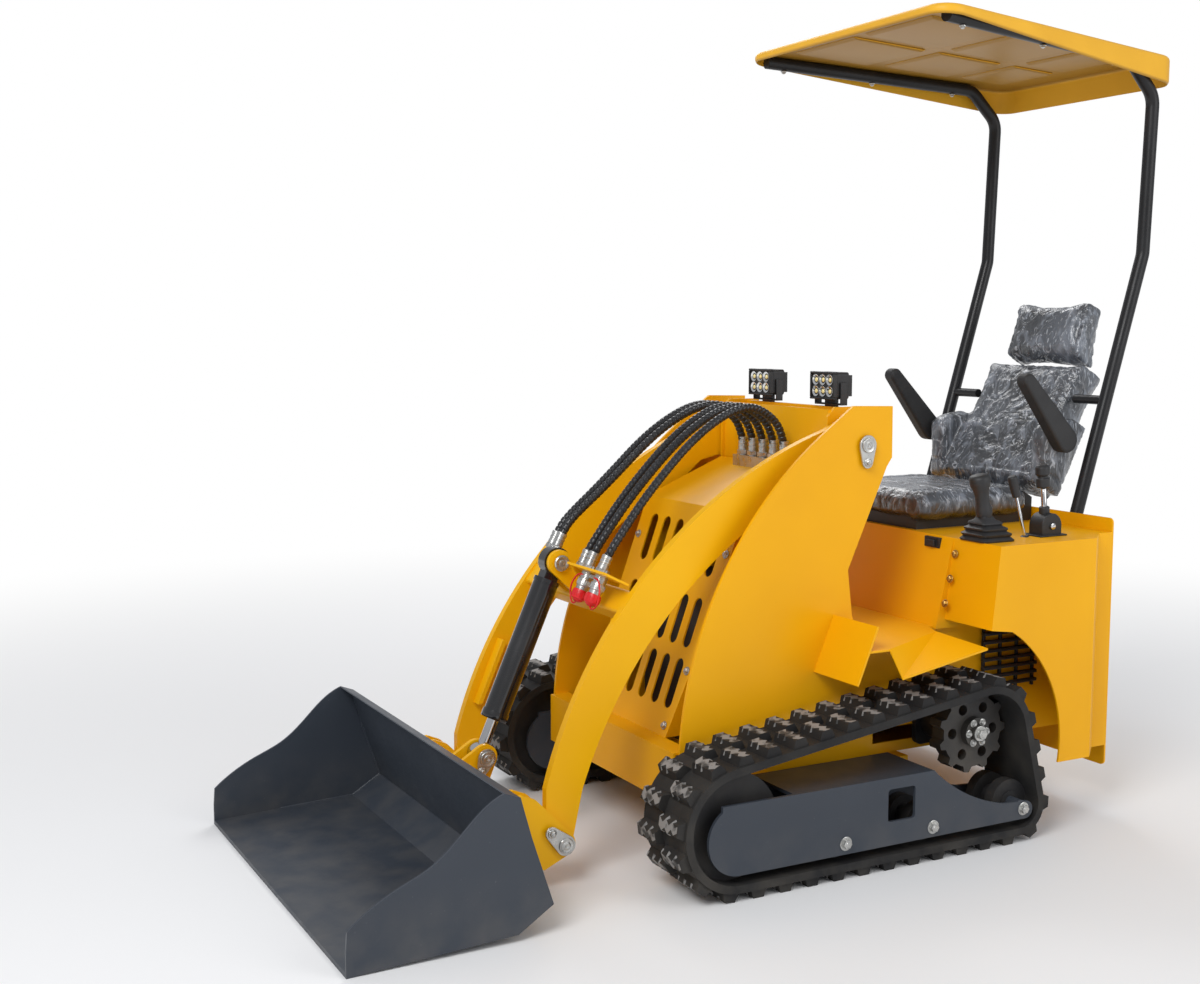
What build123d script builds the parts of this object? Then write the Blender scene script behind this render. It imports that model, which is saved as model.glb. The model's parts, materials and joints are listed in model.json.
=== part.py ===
from build123d import *
import math
import os

# Compact seated skid steer loader on rubber tracks, millimetres, +Z up.
# The bucket is towards -Y and the driver's left is +X. The origin is on the ground,
# midway between the bucket's edge and the rear of the canopy.
# A station is a distance behind the bucket's cutting edge, and a height is above the ground.

os.makedirs("parts", exist_ok=True)

overall_length = 2345.0

# Tracks: three wheels inside one rubber loop, each (station, height, radius of the loop's inner face)
track_gauge_in = 360.0
track_width = 180.0
carcass = 18.0
lug_height = 20.0
lug_pitch = 72.0
lug_foot = 44.0
lug_crown = 26.0
lug_edge_gap = 6.0
lug_root = 4.0
lug_centre_gap = 12.0
front_wheel = (873.0, 158.0, 120.0)
rear_wheel = (1672.0, 92.0, 54.0)
drive_wheel = (1575.0, 272.0, 104.0)
roller_stations = (1155.0, 1405.0)
roller_radius = 46.0
roller_centre = 84.0
wheel_clearance = 0.3

# Track frame
frame_wall = 8.0
frame_inset = 5.0
frame_bottom = 58.0
frame_top = 216.0
frame_nose = 79.0
frame_front = (829.0, 203.0)
frame_deck = (1015.0, 1405.0)
frame_fall = ((1510.0, 143.0), (1620.0, 105.0))
frame_tail = (1690.0, 21.5)
window_round = 8.0
window = (1312.0, 151.0, 78.0, 76.0)
axle_radius = 14.0

# Drive: sprocket radii and hole pattern, and the motor behind it
sprocket_width = 40.0
sprocket_root = 88.0
sprocket_teeth = 11
tooth_rise = 15.0
sprocket_holes = 6
sprocket_hole = 13.0
sprocket_hole_circle = 62.0
tooth_half_foot = 15.0
tooth_half_tip = 7.0
tooth_sink = 4.0
hub_radius = 36.0
hub_length = 62.0
hub_cap = (20.0, 10.0)
motor_flange = 120.0
motor_flange_depth = 14.0
motor_radius = 46.0
beam_stations = (1060.0, 1440.0)
beam_height = 60.0
beam_length = 56.0

# Body sheet metal
body_half = 321.0
plate = 8.0
sheet = 5.0
body_rear = 2050.0
deck_height = 717.0
belly_height = 200.0
floor_height = 500.0
nose_station = 838.0
nose_bottom = 154.0
nose_top = 276.0
nose_flange = 889.0
tower_curve = (1795.0, 222.0, 946.0)
tower_shoulder = (1224.0, 977.0)
tower_top = 1040.0
tower_back = (
    (1320, tower_top + 7), (1435, tower_top + 4), (1436, 922), (1421, 901), (1311, 659), (1325, 550),
)
motor_slot = (1462.0, 244.0, 136.0, 36.0)
inner_half = 236.0
firewall_station = 1303.0
tower_floor = 858.0
lamp_beam = (1385.0, 1400.0)
lamp_half_gap = 137.0
lamp_size = (96.0, 42.0, 66.0)
lamp_rise = 48.0

# Loader arms
arm_pivot = (1357.0, 954.0)
bucket_pivot = (577.0, 99.0)
arm_outer = 263.0
arm_plate = 20.0
arm_boss = 62.0
arm_toe = 34.0
arm_front = ((544, 222), (815.2, 697.7), (1279, 986))
arm_rear = ((1059, 759), (800, 519), (633, 208))
arm_armpit = ((1340, 900), (1250, 880), (1195, 832))
cross_tube = (775.0, 600.0, 60.0)
coupler_plate = (60.0, (698, 684), (760, 653))
coupler_spots = (112.0, 176.0)
pin_radius = 15.0
running_gap = 0.3

# Cylinders: pins as (station, height)
lift_base = (1100.0, 340.0)
lift_eye = (1250.0, 900.0)
lift_centre = 288.0
lift_barrel_radius = 20.0
lift_rod_radius = 11.0
lift_barrel_length = 470.0
tilt_top = (695.0, 682.0)
tilt_eye = (500.0, 241.0)
tilt_barrel_radius = 30.0
tilt_rod_radius = 14.0
tilt_barrel_length = 395.0
eye_width = 34.0
barrel_neck = 16.0
barrel_cap = 12.0
tilt_rod_inner = 108.0
lift_rod_inner = 60.0

# Bucket and the ears on its back
bucket_half = 510.5
bucket_wall = 6.0
bucket_front = ((333, 313), (287, 287), (229, 232), (172, 187), (106, 157), (41, 121), (3, 91))
bucket_outside = ((0, 50), (0, 0), (170, 8), (361, 17), (440, 67), (391, 215), (367, 300))
bucket_inside = ((-20, 10), (168, 17), (358, 24), (433, 70), (385, 213), (358, 297), (336, 306))
attach_half = 285.0
attach_plate = 8.0
ear_plate = 12.0
ear_round = 29.0
tilt_ear_gap = 20.0

# Hood
hood_base_half = 190.0
hood_half = 226.0
hood_flare = 560.0
hood_foot = (889.0, 276.0)
hood_bend = (1078.0, 797.0)
hood_slope = 0.41
hood_sheet = 4.0
slot_width = 34.0
slot_length = 122.0
slot_pitch = 62.0
slot_columns = 6
slot_rows = (126.0, 275.0, 450.0)

# Engine: station, width, length and height of its block
engine_block = (1165.0, 340.0, 250.0, 400.0)

# Hoses: x of each fitting on the hood, and the three kinds of route as (station, height)
fittings = (-92.0, -46.0, 0.0, 46.0, 92.0)
fitting_station = 1284.0
fitting_top = 922.0
hose_radius = 10.0

# Seat box, fenders and foot rests
seat_box_half = 334.0
seat_box_foot = 1572.0
seat_box_edge = 1622.0
fender_half = 500.0
fender_corner = ((500, 1930), (440, 2000))
fender_lip = (1600.0, 517.0)
fender_arch = ((1666.0, 508.0), (1778.0, 400.0), (1825.0, 168.0))
fender_leg_width = 22.0
rest_floor = ((321, 1249), (484, 1249), (484, 1309), (374, 1538), (321, 1560))
rest_wing = ((1217, 424), (1272, 556), (1277, 554), (1222, 422))
rest_wing_end = 485.0
rest_tip = (520, 1319, 439)
rest_heel = (500, 1589, 477)
panel_half = 440.0
panel_bottom = 115.0
panel_top = deck_height + 35.0

# Canopy: tube centres as (station, height); the roof's edges as (station, top height, half width)
post_half = 293.0
tube_radius = 17.0
post_line = ((2067.3, 200), (2067.3, 738), (2275, 1421), (2291, 1827))
rail_ends = ((297.0, 2200.0), (368.0, 1530.0))
stub_height = 1040.0
stub_radius = 12.0
roof_front = (1489.0, 1975.0, 411.0)
roof_rear = (2345.0, 1927.0, 322.0)
roof_rim_front = 28.0
roof_rim_rear = 78.0
roof_skin = 4.0
roof_corner = 60.0
roof_edge = 14.0

# Seat: the front of the backrest runs from its foot to its head, (station, height)
cushion_front = 1602.0
cushion_rear = 2000.0
cushion_half = 230.0
pan_size = (340.0, 350.0)
pan_station = 1815.0
bracket_half = 160.0
bracket_stations = (1985.0, 2040.0)
cushion_bottom = deck_height + 31.0
cushion_top = cushion_bottom + 62.0
back_foot = (2005.0, cushion_bottom + 52.0)
back_head = (2205.0, back_foot[1] + 346.0)
back_depth = 85.0
back_half = 188.0
bolster_half = 245.0
headrest_top = (back_head[0] + 47.0, back_head[1] + 166.0)
headrest_half = 148.0
armrest_width = 36.0
armrest_pivot = (back_foot[0] + 41.0, back_foot[1] + 136.0)
armrest_tip = (armrest_pivot[0] - 138.0, armrest_pivot[1] + 158.0)
control_half = 400.0
joystick_base = (1668.0, 1634.0)
joystick_rise = 162.0
lever_lines = ((1775, 1742, 154), (1856, 1833, 182))


def side_plane(x):
    """Plane at x whose sketch axes are station and height, facing +X."""
    return Plane(origin=(x, -overall_length / 2, 0), x_dir=(0, 1, 0), z_dir=(1, 0, 0))


def level_plane(height):
    """Plane at a height whose sketch axes are x and station, facing up."""
    return Plane(origin=(0, -overall_length / 2, height), x_dir=(1, 0, 0), z_dir=(0, 0, 1))


def cross_plane(station):
    """Plane at a station whose sketch axes are x and height, facing the bucket."""
    return Plane(origin=(0, station - overall_length / 2, 0), x_dir=(1, 0, 0), z_dir=(0, -1, 0))


def point(x, station, height):
    """Model point from a station and a height."""
    return (x, station - overall_length / 2, height)


def outer_face(sign, x, thickness):
    """Plane from which a wall of a thickness is extruded outwards on either side."""
    return side_plane(sign * x - (thickness if sign < 0 else 0))


def circle_hull(circles):
    """Belt round circles listed anticlockwise: for each its centre, radius and two tangent angles."""
    stretches = []
    for index, (y, z, r) in enumerate(circles):
        y2, z2, r2 = circles[(index + 1) % len(circles)]
        heading = math.atan2(z2 - z, y2 - y)
        swing = math.asin((r2 - r) / math.hypot(y2 - y, z2 - z))
        stretches.append(heading - math.pi / 2 - swing)
    return [(c, stretches[i - 1], stretches[i]) for i, c in enumerate(circles)]


def belt_face(circles, grow):
    """Sketch of the area inside a belt laid round the circles, grown outwards."""
    with BuildSketch(mode=Mode.PRIVATE) as area:
        with BuildLine():
            ends = []
            for (y, z, r), start, stop in circle_hull(circles):
                while stop < start:
                    stop += 2 * math.pi
                angles = (start, (start + stop) / 2, stop)
                arc = [(y + (r + grow) * math.cos(a), z + (r + grow) * math.sin(a)) for a in angles]
                ThreePointArc(*arc)
                ends.append((arc[0], arc[2]))
            for index, (begin, end) in enumerate(ends):
                Line(ends[index - 1][1], begin)
        make_face()
    return area.sketch


def belt_stations(circles, grow, pitch, shift):
    """Points and outward angles spaced along the belt: (station, height, degrees)."""
    runs = []
    hull = circle_hull(circles)
    for index, ((y, z, r), start, stop) in enumerate(hull):
        while stop < start:
            stop += 2 * math.pi
        radius = r + grow
        runs.append(("arc", (y, z, radius, start), radius * (stop - start)))
        (y2, z2, r2), begin, _ = hull[(index + 1) % len(hull)]
        a = (y + radius * math.cos(stop), z + radius * math.sin(stop))
        b = (y2 + (r2 + grow) * math.cos(stop), z2 + (r2 + grow) * math.sin(stop))
        runs.append(("line", (a, b, stop), math.dist(a, b)))
    total = sum(length for _, _, length in runs)
    count = round(total / pitch)
    found = []
    for number in range(count):
        along = (number + shift) * total / count
        for kind, data, length in runs:
            if along <= length:
                break
            along -= length
        if kind == "arc":
            y, z, radius, start = data
            angle = start + along / radius
            found.append((y + radius * math.cos(angle), z + radius * math.sin(angle), math.degrees(angle)))
        else:
            a, b, angle = data
            t = along / length
            found.append((a[0] + (b[0] - a[0]) * t, a[1] + (b[1] - a[1]) * t, math.degrees(angle)))
    return found


def link_plane(x, start, stop):
    """Plane at a link's start pin, facing along the link to its stop pin."""
    direction = (0, stop[0] - start[0], stop[1] - start[1])
    return Plane(origin=point(x, *start), x_dir=(1, 0, 0), z_dir=direction)


def save(piece, name):
    """Label a finished sub-part and write it."""
    piece.part.label = name
    export_step(piece.part, f"parts/{name}.step")


def save_pair(piece, name):
    """Save a piece built on the driver's left, and its mirror image on the right."""
    save(piece, f"{name}_left")
    with BuildPart() as other:
        mirror(piece.part, about=Plane.YZ)
    save(other, f"{name}_right")


def slab(plane, points, thickness, mode=Mode.ADD):
    """Polygon drawn on a plane and extruded by a thickness, inside the open sub-part."""
    with BuildSketch(plane) as area:
        Polygon(*points, align=None)
    extrude(area.sketch, amount=thickness, mode=mode)


def disc(x, centre, radius, thickness, mode=Mode.ADD):
    """Cylinder along X from a side plane, inside the open sub-part."""
    with BuildSketch(side_plane(x)) as area:
        with Locations(centre):
            Circle(radius)
    extrude(area.sketch, amount=thickness, mode=mode)


def tube(points, radius, bend):
    """Round bar along points joined by bends, inside the open sub-part."""
    with BuildLine() as path:
        FilletPolyline(*points, radius=bend)
    with BuildSketch(Plane(origin=path.line @ 0, z_dir=path.line % 0)) as area:
        Circle(radius)
    sweep(area.sketch, path=path.line)


sides = (("left", 1), ("right", -1))
wheels = (front_wheel, rear_wheel, drive_wheel)
track_outer = track_gauge_in + track_width
track_middle = track_gauge_in + track_width / 2
lug_length = track_width / 2 - lug_edge_gap - lug_centre_gap / 2

# Rubber track with two staggered rows of lugs, built on the left and mirrored
with BuildPart() as track:
    with BuildSketch(side_plane(track_gauge_in)):
        add(belt_face(wheels, carcass))
        add(belt_face(wheels, 0), mode=Mode.SUBTRACT)
    extrude(amount=track_width)
    for row, inset in enumerate((lug_edge_gap, track_width / 2 + lug_centre_gap / 2)):
        with BuildSketch(side_plane(track_gauge_in + inset)):
            for y, z, angle in belt_stations(wheels, carcass, lug_pitch, row / 2):
                with Locations(Location((y, z), angle - 90)):
                    Polygon(
                        (-lug_foot / 2, -lug_root),
                        (lug_foot / 2, -lug_root),
                        (lug_crown / 2, lug_height),
                        (-lug_crown / 2, lug_height),
                        align=None,
                    )
        extrude(amount=lug_length)
save_pair(track, "track")

# Track frame: two side plates, a deck between them and the wheels' axles
frame_outer = track_outer - frame_inset
frame_inner = track_gauge_in + frame_inset
nose_y = front_wheel[0]
tail_y, tail = frame_tail
wheel_axles = [front_wheel[:2], rear_wheel[:2]] + [(y, roller_centre) for y in roller_stations]
with BuildPart() as track_frame:
    for x in (frame_inner, frame_outer - frame_wall):
        with BuildSketch(side_plane(x)):
            with BuildLine():
                ThreePointArc((nose_y, frame_bottom), (nose_y - frame_nose, frame_bottom + frame_nose), frame_front)
                Polyline(frame_front, (frame_front[0], frame_top), (frame_deck[1], frame_top))
                ThreePointArc((frame_deck[1], frame_top), *frame_fall)
                Line(frame_fall[1], (tail_y, frame_bottom + 2 * tail))
                ThreePointArc(
                    (tail_y, frame_bottom + 2 * tail), (tail_y + tail, frame_bottom + tail), (tail_y, frame_bottom),
                )
                Line((tail_y, frame_bottom), (nose_y, frame_bottom))
            make_face()
            with Locations(window[:2]):
                RectangleRounded(window[2], window[3], window_round, mode=Mode.SUBTRACT)
        extrude(amount=frame_wall)
    with BuildSketch(level_plane(frame_top - frame_wall)):
        with Locations((track_middle, sum(frame_deck) / 2)):
            Rectangle(frame_outer - frame_inner, frame_deck[1] - frame_deck[0])
    extrude(amount=frame_wall)
    with BuildSketch(side_plane(frame_inner)):
        with Locations(*wheel_axles):
            Circle(axle_radius)
    extrude(amount=frame_outer - frame_inner)
save_pair(track_frame, "track_frame")

# Running wheels: twin discs on a hub, either side of the track's guide lugs
# name: (station, height, radius, rim's half gap, rim width)
twin_wheels = {
    "front_idler": (*front_wheel[:2], front_wheel[2] - wheel_clearance, 20.0, 30.0),
    "rear_idler": (*rear_wheel[:2], rear_wheel[2] - wheel_clearance, 20.0, 26.0),
}
for number, y in enumerate(roller_stations):
    twin_wheels[f"roller_{number + 1}"] = (y, roller_centre, roller_radius - wheel_clearance, 20.0, 26.0)
for name, (y, z, radius, gap, rim) in twin_wheels.items():
    with BuildPart() as wheel:
        for x in (track_middle - gap - rim, track_middle + gap):
            with BuildSketch(side_plane(x)):
                with Locations((y, z)):
                    Circle(radius)
            extrude(amount=rim)
        with BuildSketch(side_plane(track_middle - gap - rim - 4)):
            with Locations((y, z)):
                Circle(axle_radius + 12)
        extrude(amount=2 * (gap + rim + 4))
        with BuildSketch(side_plane(frame_inner)):
            with Locations((y, z)):
                Circle(axle_radius + running_gap)
        extrude(amount=track_width, mode=Mode.SUBTRACT)
    save_pair(wheel, name)

# Drive sprocket with round lightening holes, and the motor that carries it
with BuildPart() as sprocket:
    with BuildSketch(side_plane(track_middle - sprocket_width / 2)):
        with Locations(drive_wheel[:2]):
            Circle(sprocket_root)
            with PolarLocations(sprocket_root - 2, sprocket_teeth):
                Polygon(
                    (-tooth_sink, -tooth_half_foot), (tooth_rise, -tooth_half_tip),
                    (tooth_rise, tooth_half_tip), (-tooth_sink, tooth_half_foot), align=None,
                )
            with PolarLocations(sprocket_hole_circle, sprocket_holes):
                Circle(sprocket_hole, mode=Mode.SUBTRACT)
    extrude(amount=sprocket_width)
    hub_start = track_middle - sprocket_width / 2 - 4
    disc(hub_start, drive_wheel[:2], hub_radius, hub_length)
    disc(hub_start + hub_length, drive_wheel[:2], *hub_cap)
save_pair(sprocket, "sprocket")

with BuildPart() as motor:
    with BuildSketch(side_plane(body_half)):
        with Locations(drive_wheel[:2]):
            RectangleRounded(motor_flange, motor_flange, 18)
    extrude(amount=motor_flange_depth)
    motor_face = body_half + motor_flange_depth
    disc(motor_face, drive_wheel[:2], motor_radius, hub_start - motor_face)
save_pair(motor, "drive_motor")

# Body side plates: a tall curved tower ahead of the driver, a low wall behind
wall_top = floor_height - sheet
wall_rear = body_rear - sheet
inside_half = body_half - plate
with BuildPart() as side_wall:
    with BuildSketch(side_plane(inside_half)):
        centre_y, centre_z, radius = tower_curve
        foot = (centre_y - math.sqrt(radius**2 - (belly_height - centre_z) ** 2), belly_height)
        shoulder = (centre_y - math.sqrt(radius**2 - (tower_shoulder[1] - centre_z) ** 2), tower_shoulder[1])
        middle = math.radians(153)
        bulge = (centre_y + radius * math.cos(middle), centre_z + radius * math.sin(middle))
        with BuildLine():
            ThreePointArc(foot, bulge, shoulder)
            Polyline(
                shoulder, *tower_back, (1345, wall_top), (wall_rear, wall_top), (wall_rear, belly_height), foot
            )
        make_face()
        with Locations(motor_slot[:2]):
            Rectangle(motor_slot[2], motor_slot[3], mode=Mode.SUBTRACT)
    extrude(amount=plate)
    disc(inner_half, arm_pivot, pin_radius, body_half + 5 - inner_half)
    pin_start = lift_centre - eye_width / 2 + 1
    disc(pin_start, lift_base, pin_radius, inside_half - pin_start)
save_pair(side_wall, "tower_plate")

# Chassis: floor, nose, cross beams to the track frames, and the firewall behind the engine
hood_back = hood_bend[1] + hood_slope * (firewall_station - hood_bend[0])
with BuildPart() as chassis:
    with BuildSketch(level_plane(belly_height)):
        with Locations((0, (nose_station + sheet + wall_rear) / 2)):
            Rectangle(2 * inside_half, wall_rear - nose_station - sheet)
    extrude(amount=sheet)
    slab(side_plane(-inside_half), (
        (nose_station, nose_bottom), (nose_station + sheet, nose_bottom),
        (nose_station + sheet, nose_top - sheet), (nose_flange, nose_top - sheet),
        (nose_flange, nose_top), (nose_station, nose_top),
    ), 2 * inside_half)
    for y in beam_stations:
        with BuildSketch(side_plane(-frame_inner)):
            with Locations((y, belly_height - beam_height / 2)):
                Rectangle(beam_length, beam_height)
        extrude(amount=2 * frame_inner)
    slab(cross_plane(firewall_station + sheet), (
        (-inside_half, belly_height), (inside_half, belly_height),
        (inside_half, tower_floor), (hood_half, tower_floor), (hood_half, hood_back - 3),
        (-hood_half, hood_back - 3), (-hood_half, tower_floor), (-inside_half, tower_floor),
    ), sheet)
save(chassis, "chassis")

# Tower top: shelf, inner pivot plates, cross plate and the beam that carries the lamps
shelf_start = firewall_station + sheet
with BuildPart() as tower_top_frame:
    slab(level_plane(tower_floor), (
        (-inside_half, shelf_start), (inside_half, shelf_start), (inside_half, 1396), (-inside_half, 1396),
    ), plate)
    for x in (-inner_half, inner_half - plate):
        with BuildSketch(side_plane(x)):
            with BuildLine():
                Polyline(
                    (shelf_start, tower_floor), (shelf_start, tower_top - 22), (shelf_start + 22, tower_top),
                    (1424, tower_top), (1424, 922), (1396, tower_floor), close=True,
                )
            make_face()
        extrude(amount=plate)
    with BuildSketch(cross_plane(shelf_start + 16)):
        with Locations((0, (tower_floor + tower_top - 6) / 2)):
            Rectangle(2 * inner_half - 2 * plate, tower_top - tower_floor - 6)
    extrude(amount=plate)
    with BuildSketch(cross_plane(lamp_beam[1])):
        with Locations((0, tower_top - 34)):
            Rectangle(2 * inner_half - 2 * plate, 60)
    extrude(amount=lamp_beam[1] - lamp_beam[0])
save(tower_top_frame, "tower_top")

for name, sign in sides:
    with BuildPart() as lamp:
        with BuildSketch(level_plane(tower_top - 4)):
            with Locations((sign * lamp_half_gap, sum(lamp_beam) / 2)):
                Rectangle(40, 12)
        extrude(amount=lamp_rise)
        with BuildSketch(cross_plane(lamp_beam[1] + 8)):
            with Locations((sign * lamp_half_gap, tower_top + lamp_rise)):
                RectangleRounded(lamp_size[0], lamp_size[2], 8)
        extrude(amount=lamp_size[1])
    save(lamp, f"work_lamp_{name}")

# Hood over the engine, flared at the foot, with rows of cooling slots in its front
front_slope = Plane(
    origin=point(0, *hood_foot),
    x_dir=(1, 0, 0),
    z_dir=(0, hood_foot[1] - hood_bend[1], hood_bend[0] - hood_foot[0]),
)
with BuildPart() as hood:
    slab(side_plane(-hood_half), (
        hood_foot, hood_bend, (firewall_station, hood_back), (firewall_station, hood_foot[1]),
    ), 2 * hood_half)
    for sign in (1, -1):
        with BuildSketch(cross_plane(firewall_station)):
            Polygon(
                (sign * hood_half, hood_flare), (sign * hood_base_half, hood_foot[1]),
                (sign * (hood_half + 20), hood_foot[1]), (sign * (hood_half + 20), hood_flare), align=None,
            )
        extrude(amount=firewall_station - hood_foot[0], mode=Mode.SUBTRACT)
    open_faces = [hood.faces().sort_by(Axis.Z)[0], hood.faces().sort_by(Axis.Y)[-1]]
    offset(amount=-hood_sheet, openings=open_faces)
    with BuildSketch(front_slope):
        for row in slot_rows:
            for column in range(slot_columns):
                with Locations(((column - (slot_columns - 1) / 2) * slot_pitch, row)):
                    SlotOverall(slot_length, slot_width, rotation=90)
    extrude(amount=30, both=True, mode=Mode.SUBTRACT)
save(hood, "engine_hood")

with BuildPart() as engine:
    with BuildSketch(level_plane(belly_height + sheet)):
        with Locations((0, engine_block[0])):
            Rectangle(engine_block[1], engine_block[2])
    extrude(amount=engine_block[3])
save(engine, "engine")

# Block with the hose fittings, seated on the hood's sloping top
with BuildPart() as fitting_block:
    front, back = fitting_station - 14, fitting_station + 16
    slab(side_plane(-118), [
        (y, hood_bend[1] + hood_slope * (y - hood_bend[0])) for y in (front, back)
    ] + [(back, fitting_top - 18), (front, fitting_top - 18)], 236)
    with BuildSketch(level_plane(fitting_top - 18)):
        with Locations(*((x, fitting_station) for x in fittings)):
            Circle(hose_radius + 1)
    extrude(amount=18)
save(fitting_block, "hose_fittings")

# Seat box: floor, sloping front panel, deck and side skirts
with BuildPart() as seat_box:
    slab(level_plane(wall_top), (
        (-inside_half, firewall_station + sheet), (inside_half, firewall_station + sheet),
        (inside_half, 1346), (body_half, 1346), (body_half, seat_box_foot),
        (-body_half, seat_box_foot), (-body_half, 1346), (-inside_half, 1346),
    ), sheet)
    slab(side_plane(-seat_box_half), (
        (seat_box_foot, wall_top), (seat_box_foot, floor_height), (seat_box_edge, deck_height),
        (wall_rear, deck_height), (wall_rear, deck_height - sheet), (seat_box_edge + 4, deck_height - sheet),
        (seat_box_foot + 5, floor_height - 1), (seat_box_foot + 5, wall_top),
    ), 2 * seat_box_half)
    for x in (-seat_box_half, seat_box_half - sheet):
        slab(side_plane(x), (
            (seat_box_foot, wall_top), (seat_box_foot, floor_height), (seat_box_edge, deck_height),
            (wall_rear, deck_height), (wall_rear, wall_top),
        ), sheet)
    for sign in (1, -1):
        slab(level_plane(wall_top), (
            (sign * body_half, seat_box_foot), (sign * seat_box_half, seat_box_foot),
            (sign * seat_box_half, wall_rear), (sign * body_half, wall_rear),
        ), sheet)
save(seat_box, "seat_box")

with BuildPart() as rear_panel:
    with BuildSketch(cross_plane(body_rear)):
        with Locations((0, (panel_bottom + panel_top) / 2)):
            RectangleRounded(2 * panel_half, panel_top - panel_bottom, 12)
    extrude(amount=sheet)
save(rear_panel, "rear_panel")

# Fender: top, front and outer skin with the arch over the track, and the cut rear corner
with BuildPart() as fender:
    corner_out, corner_in = fender_corner
    fender_foot = fender_arch[2][1]
    fender_leg = corner_out[1] - fender_leg_width
    slab(level_plane(deck_height - sheet), (
        (seat_box_half, seat_box_edge), (fender_half, seat_box_edge), corner_out, corner_in,
        (panel_half, wall_rear), (seat_box_half, wall_rear),
    ), sheet)
    slab(side_plane(seat_box_half), (
        fender_lip, (seat_box_edge, deck_height), (seat_box_edge + sheet, deck_height - sheet),
        (fender_lip[0] + sheet, fender_lip[1]),
    ), fender_half - seat_box_half)
    with BuildSketch(side_plane(fender_half - sheet)):
        with BuildLine():
            Line(fender_lip, fender_arch[0])
            ThreePointArc(*fender_arch)
            Polyline(
                fender_arch[2], (fender_leg, fender_foot), (corner_out[1], deck_height),
                (seat_box_edge, deck_height), fender_lip,
            )
        make_face()
    extrude(amount=sheet)
    slab(level_plane(fender_foot), (
        (fender_half, fender_leg), corner_out, corner_in, (panel_half, wall_rear),
        (panel_half - sheet, wall_rear), (panel_half - sheet, corner_in[1] - 2),
        (fender_half - sheet, corner_out[1] - 2), (fender_half - sheet, fender_leg),
    ), deck_height - fender_foot)
save_pair(fender, "fender")

# Foot rest: floor, turned-down front wing and sloping outer wing
with BuildPart() as foot_rest:
    slab(level_plane(wall_top), rest_floor, sheet)
    slab(side_plane(body_half), rest_wing, rest_wing_end - body_half)
    bend_front, bend_rear = ((*corner, floor_height) for corner in rest_floor[2:4])
    for corners in ((bend_rear, bend_front, rest_tip), (bend_rear, rest_tip, rest_heel)):
        flap = Face(Wire.make_polygon([point(*spot) for spot in corners]))
        extrude(flap, amount=sheet, dir=(0, 0, -1))
save_pair(foot_rest, "foot_rest")

# Canopy: two bent posts running on as roof rails, with stubs to the backrest
roof_fall = (roof_front[1] - roof_rear[1]) / (roof_rear[0] - roof_front[0])


def rail_point(x, station):
    """Point of a rail's centre just under the roof's skin."""
    skin = roof_front[1] - roof_fall * (station - roof_front[0]) - roof_skin
    return point(x, station, skin - tube_radius - 2 * running_gap)


(lean_foot, lean_low), (lean_head, lean_high) = post_line[1:3]
stub_station = lean_foot + (lean_head - lean_foot) * (stub_height - lean_low) / (lean_high - lean_low)
with BuildPart() as canopy_frame:
    for sign in (1, -1):
        posts = [point(sign * post_half, *spot) for spot in post_line]
        rails = [rail_point(sign * x, station) for x, station in rail_ends]
        tube(posts + rails, tube_radius, 60)
        with BuildSketch(side_plane(sign * post_half if sign < 0 else back_half)):
            with Locations((stub_station, stub_height)):
                Circle(stub_radius)
        extrude(amount=post_half - back_half)
    with BuildSketch(cross_plane(body_rear + 34)):
        with Locations((post_half, 300), (-post_half, 300)):
            Rectangle(60, 40)
        with Locations((0, 640)):
            Rectangle(2 * post_half + 60, 40)
    extrude(amount=34)
save(canopy_frame, "canopy_frame")


def roof_form(inset):
    """Roof as a filled form; inset leaves room for the skin and runs out below the rim."""
    low = roof_rear[1] - roof_rim_rear
    floor = low - (10 if inset else 0)
    with BuildPart() as form:
        with BuildSketch(level_plane(floor)):
            Polygon(
                (-roof_front[2] + inset, roof_front[0] + inset),
                (roof_front[2] - inset, roof_front[0] + inset),
                (roof_rear[2] - inset, roof_rear[0] - inset),
                (-roof_rear[2] + inset, roof_rear[0] - inset),
                align=None,
            )
            fillet(vertices(), radius=roof_corner - inset)
        extrude(amount=roof_front[1] - floor)
        slab(side_plane(-500), (
            (roof_front[0], roof_front[1] - inset), (roof_rear[0], roof_rear[1] - inset),
            (roof_rear[0], roof_front[1] + 5), (roof_front[0], roof_front[1] + 5),
        ), 1000, Mode.SUBTRACT)
        if not inset:
            slab(side_plane(-500), (
                (roof_front[0], roof_front[1] - roof_rim_front), (roof_rear[0], low),
                (roof_rear[0], low - 5), (roof_front[0], low - 5),
            ), 1000, Mode.SUBTRACT)
        fillet(form.faces().sort_by(Axis.Z)[-1].edges(), radius=roof_edge - inset)
    return form.part


with BuildPart() as canopy_roof:
    add(roof_form(0))
    add(roof_form(roof_skin), mode=Mode.SUBTRACT)
save(canopy_roof, "canopy_roof")

# Seat on its pan, with a reclined backrest between bolsters
back_line = (back_head[0] - back_foot[0], back_head[1] - back_foot[1])
back_run = math.hypot(*back_line)
back_normal = (back_line[1] / back_run, -back_line[0] / back_run)


def behind(spot, depth):
    """Point behind the backrest's front surface."""
    return (spot[0] + depth * back_normal[0], spot[1] + depth * back_normal[1])


with BuildPart() as seat_base:
    with BuildSketch(level_plane(deck_height)):
        with Locations((0, pan_station)):
            Rectangle(*pan_size)
    extrude(amount=cushion_bottom - deck_height)
    slab(side_plane(-bracket_half), (
        (bracket_stations[0], deck_height), (bracket_stations[1], deck_height), behind(back_foot, 42),
        behind(back_foot, 6), (cushion_rear + 3, cushion_bottom), (bracket_stations[0], cushion_bottom),
    ), 2 * bracket_half)
save(seat_base, "seat_base")

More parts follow.
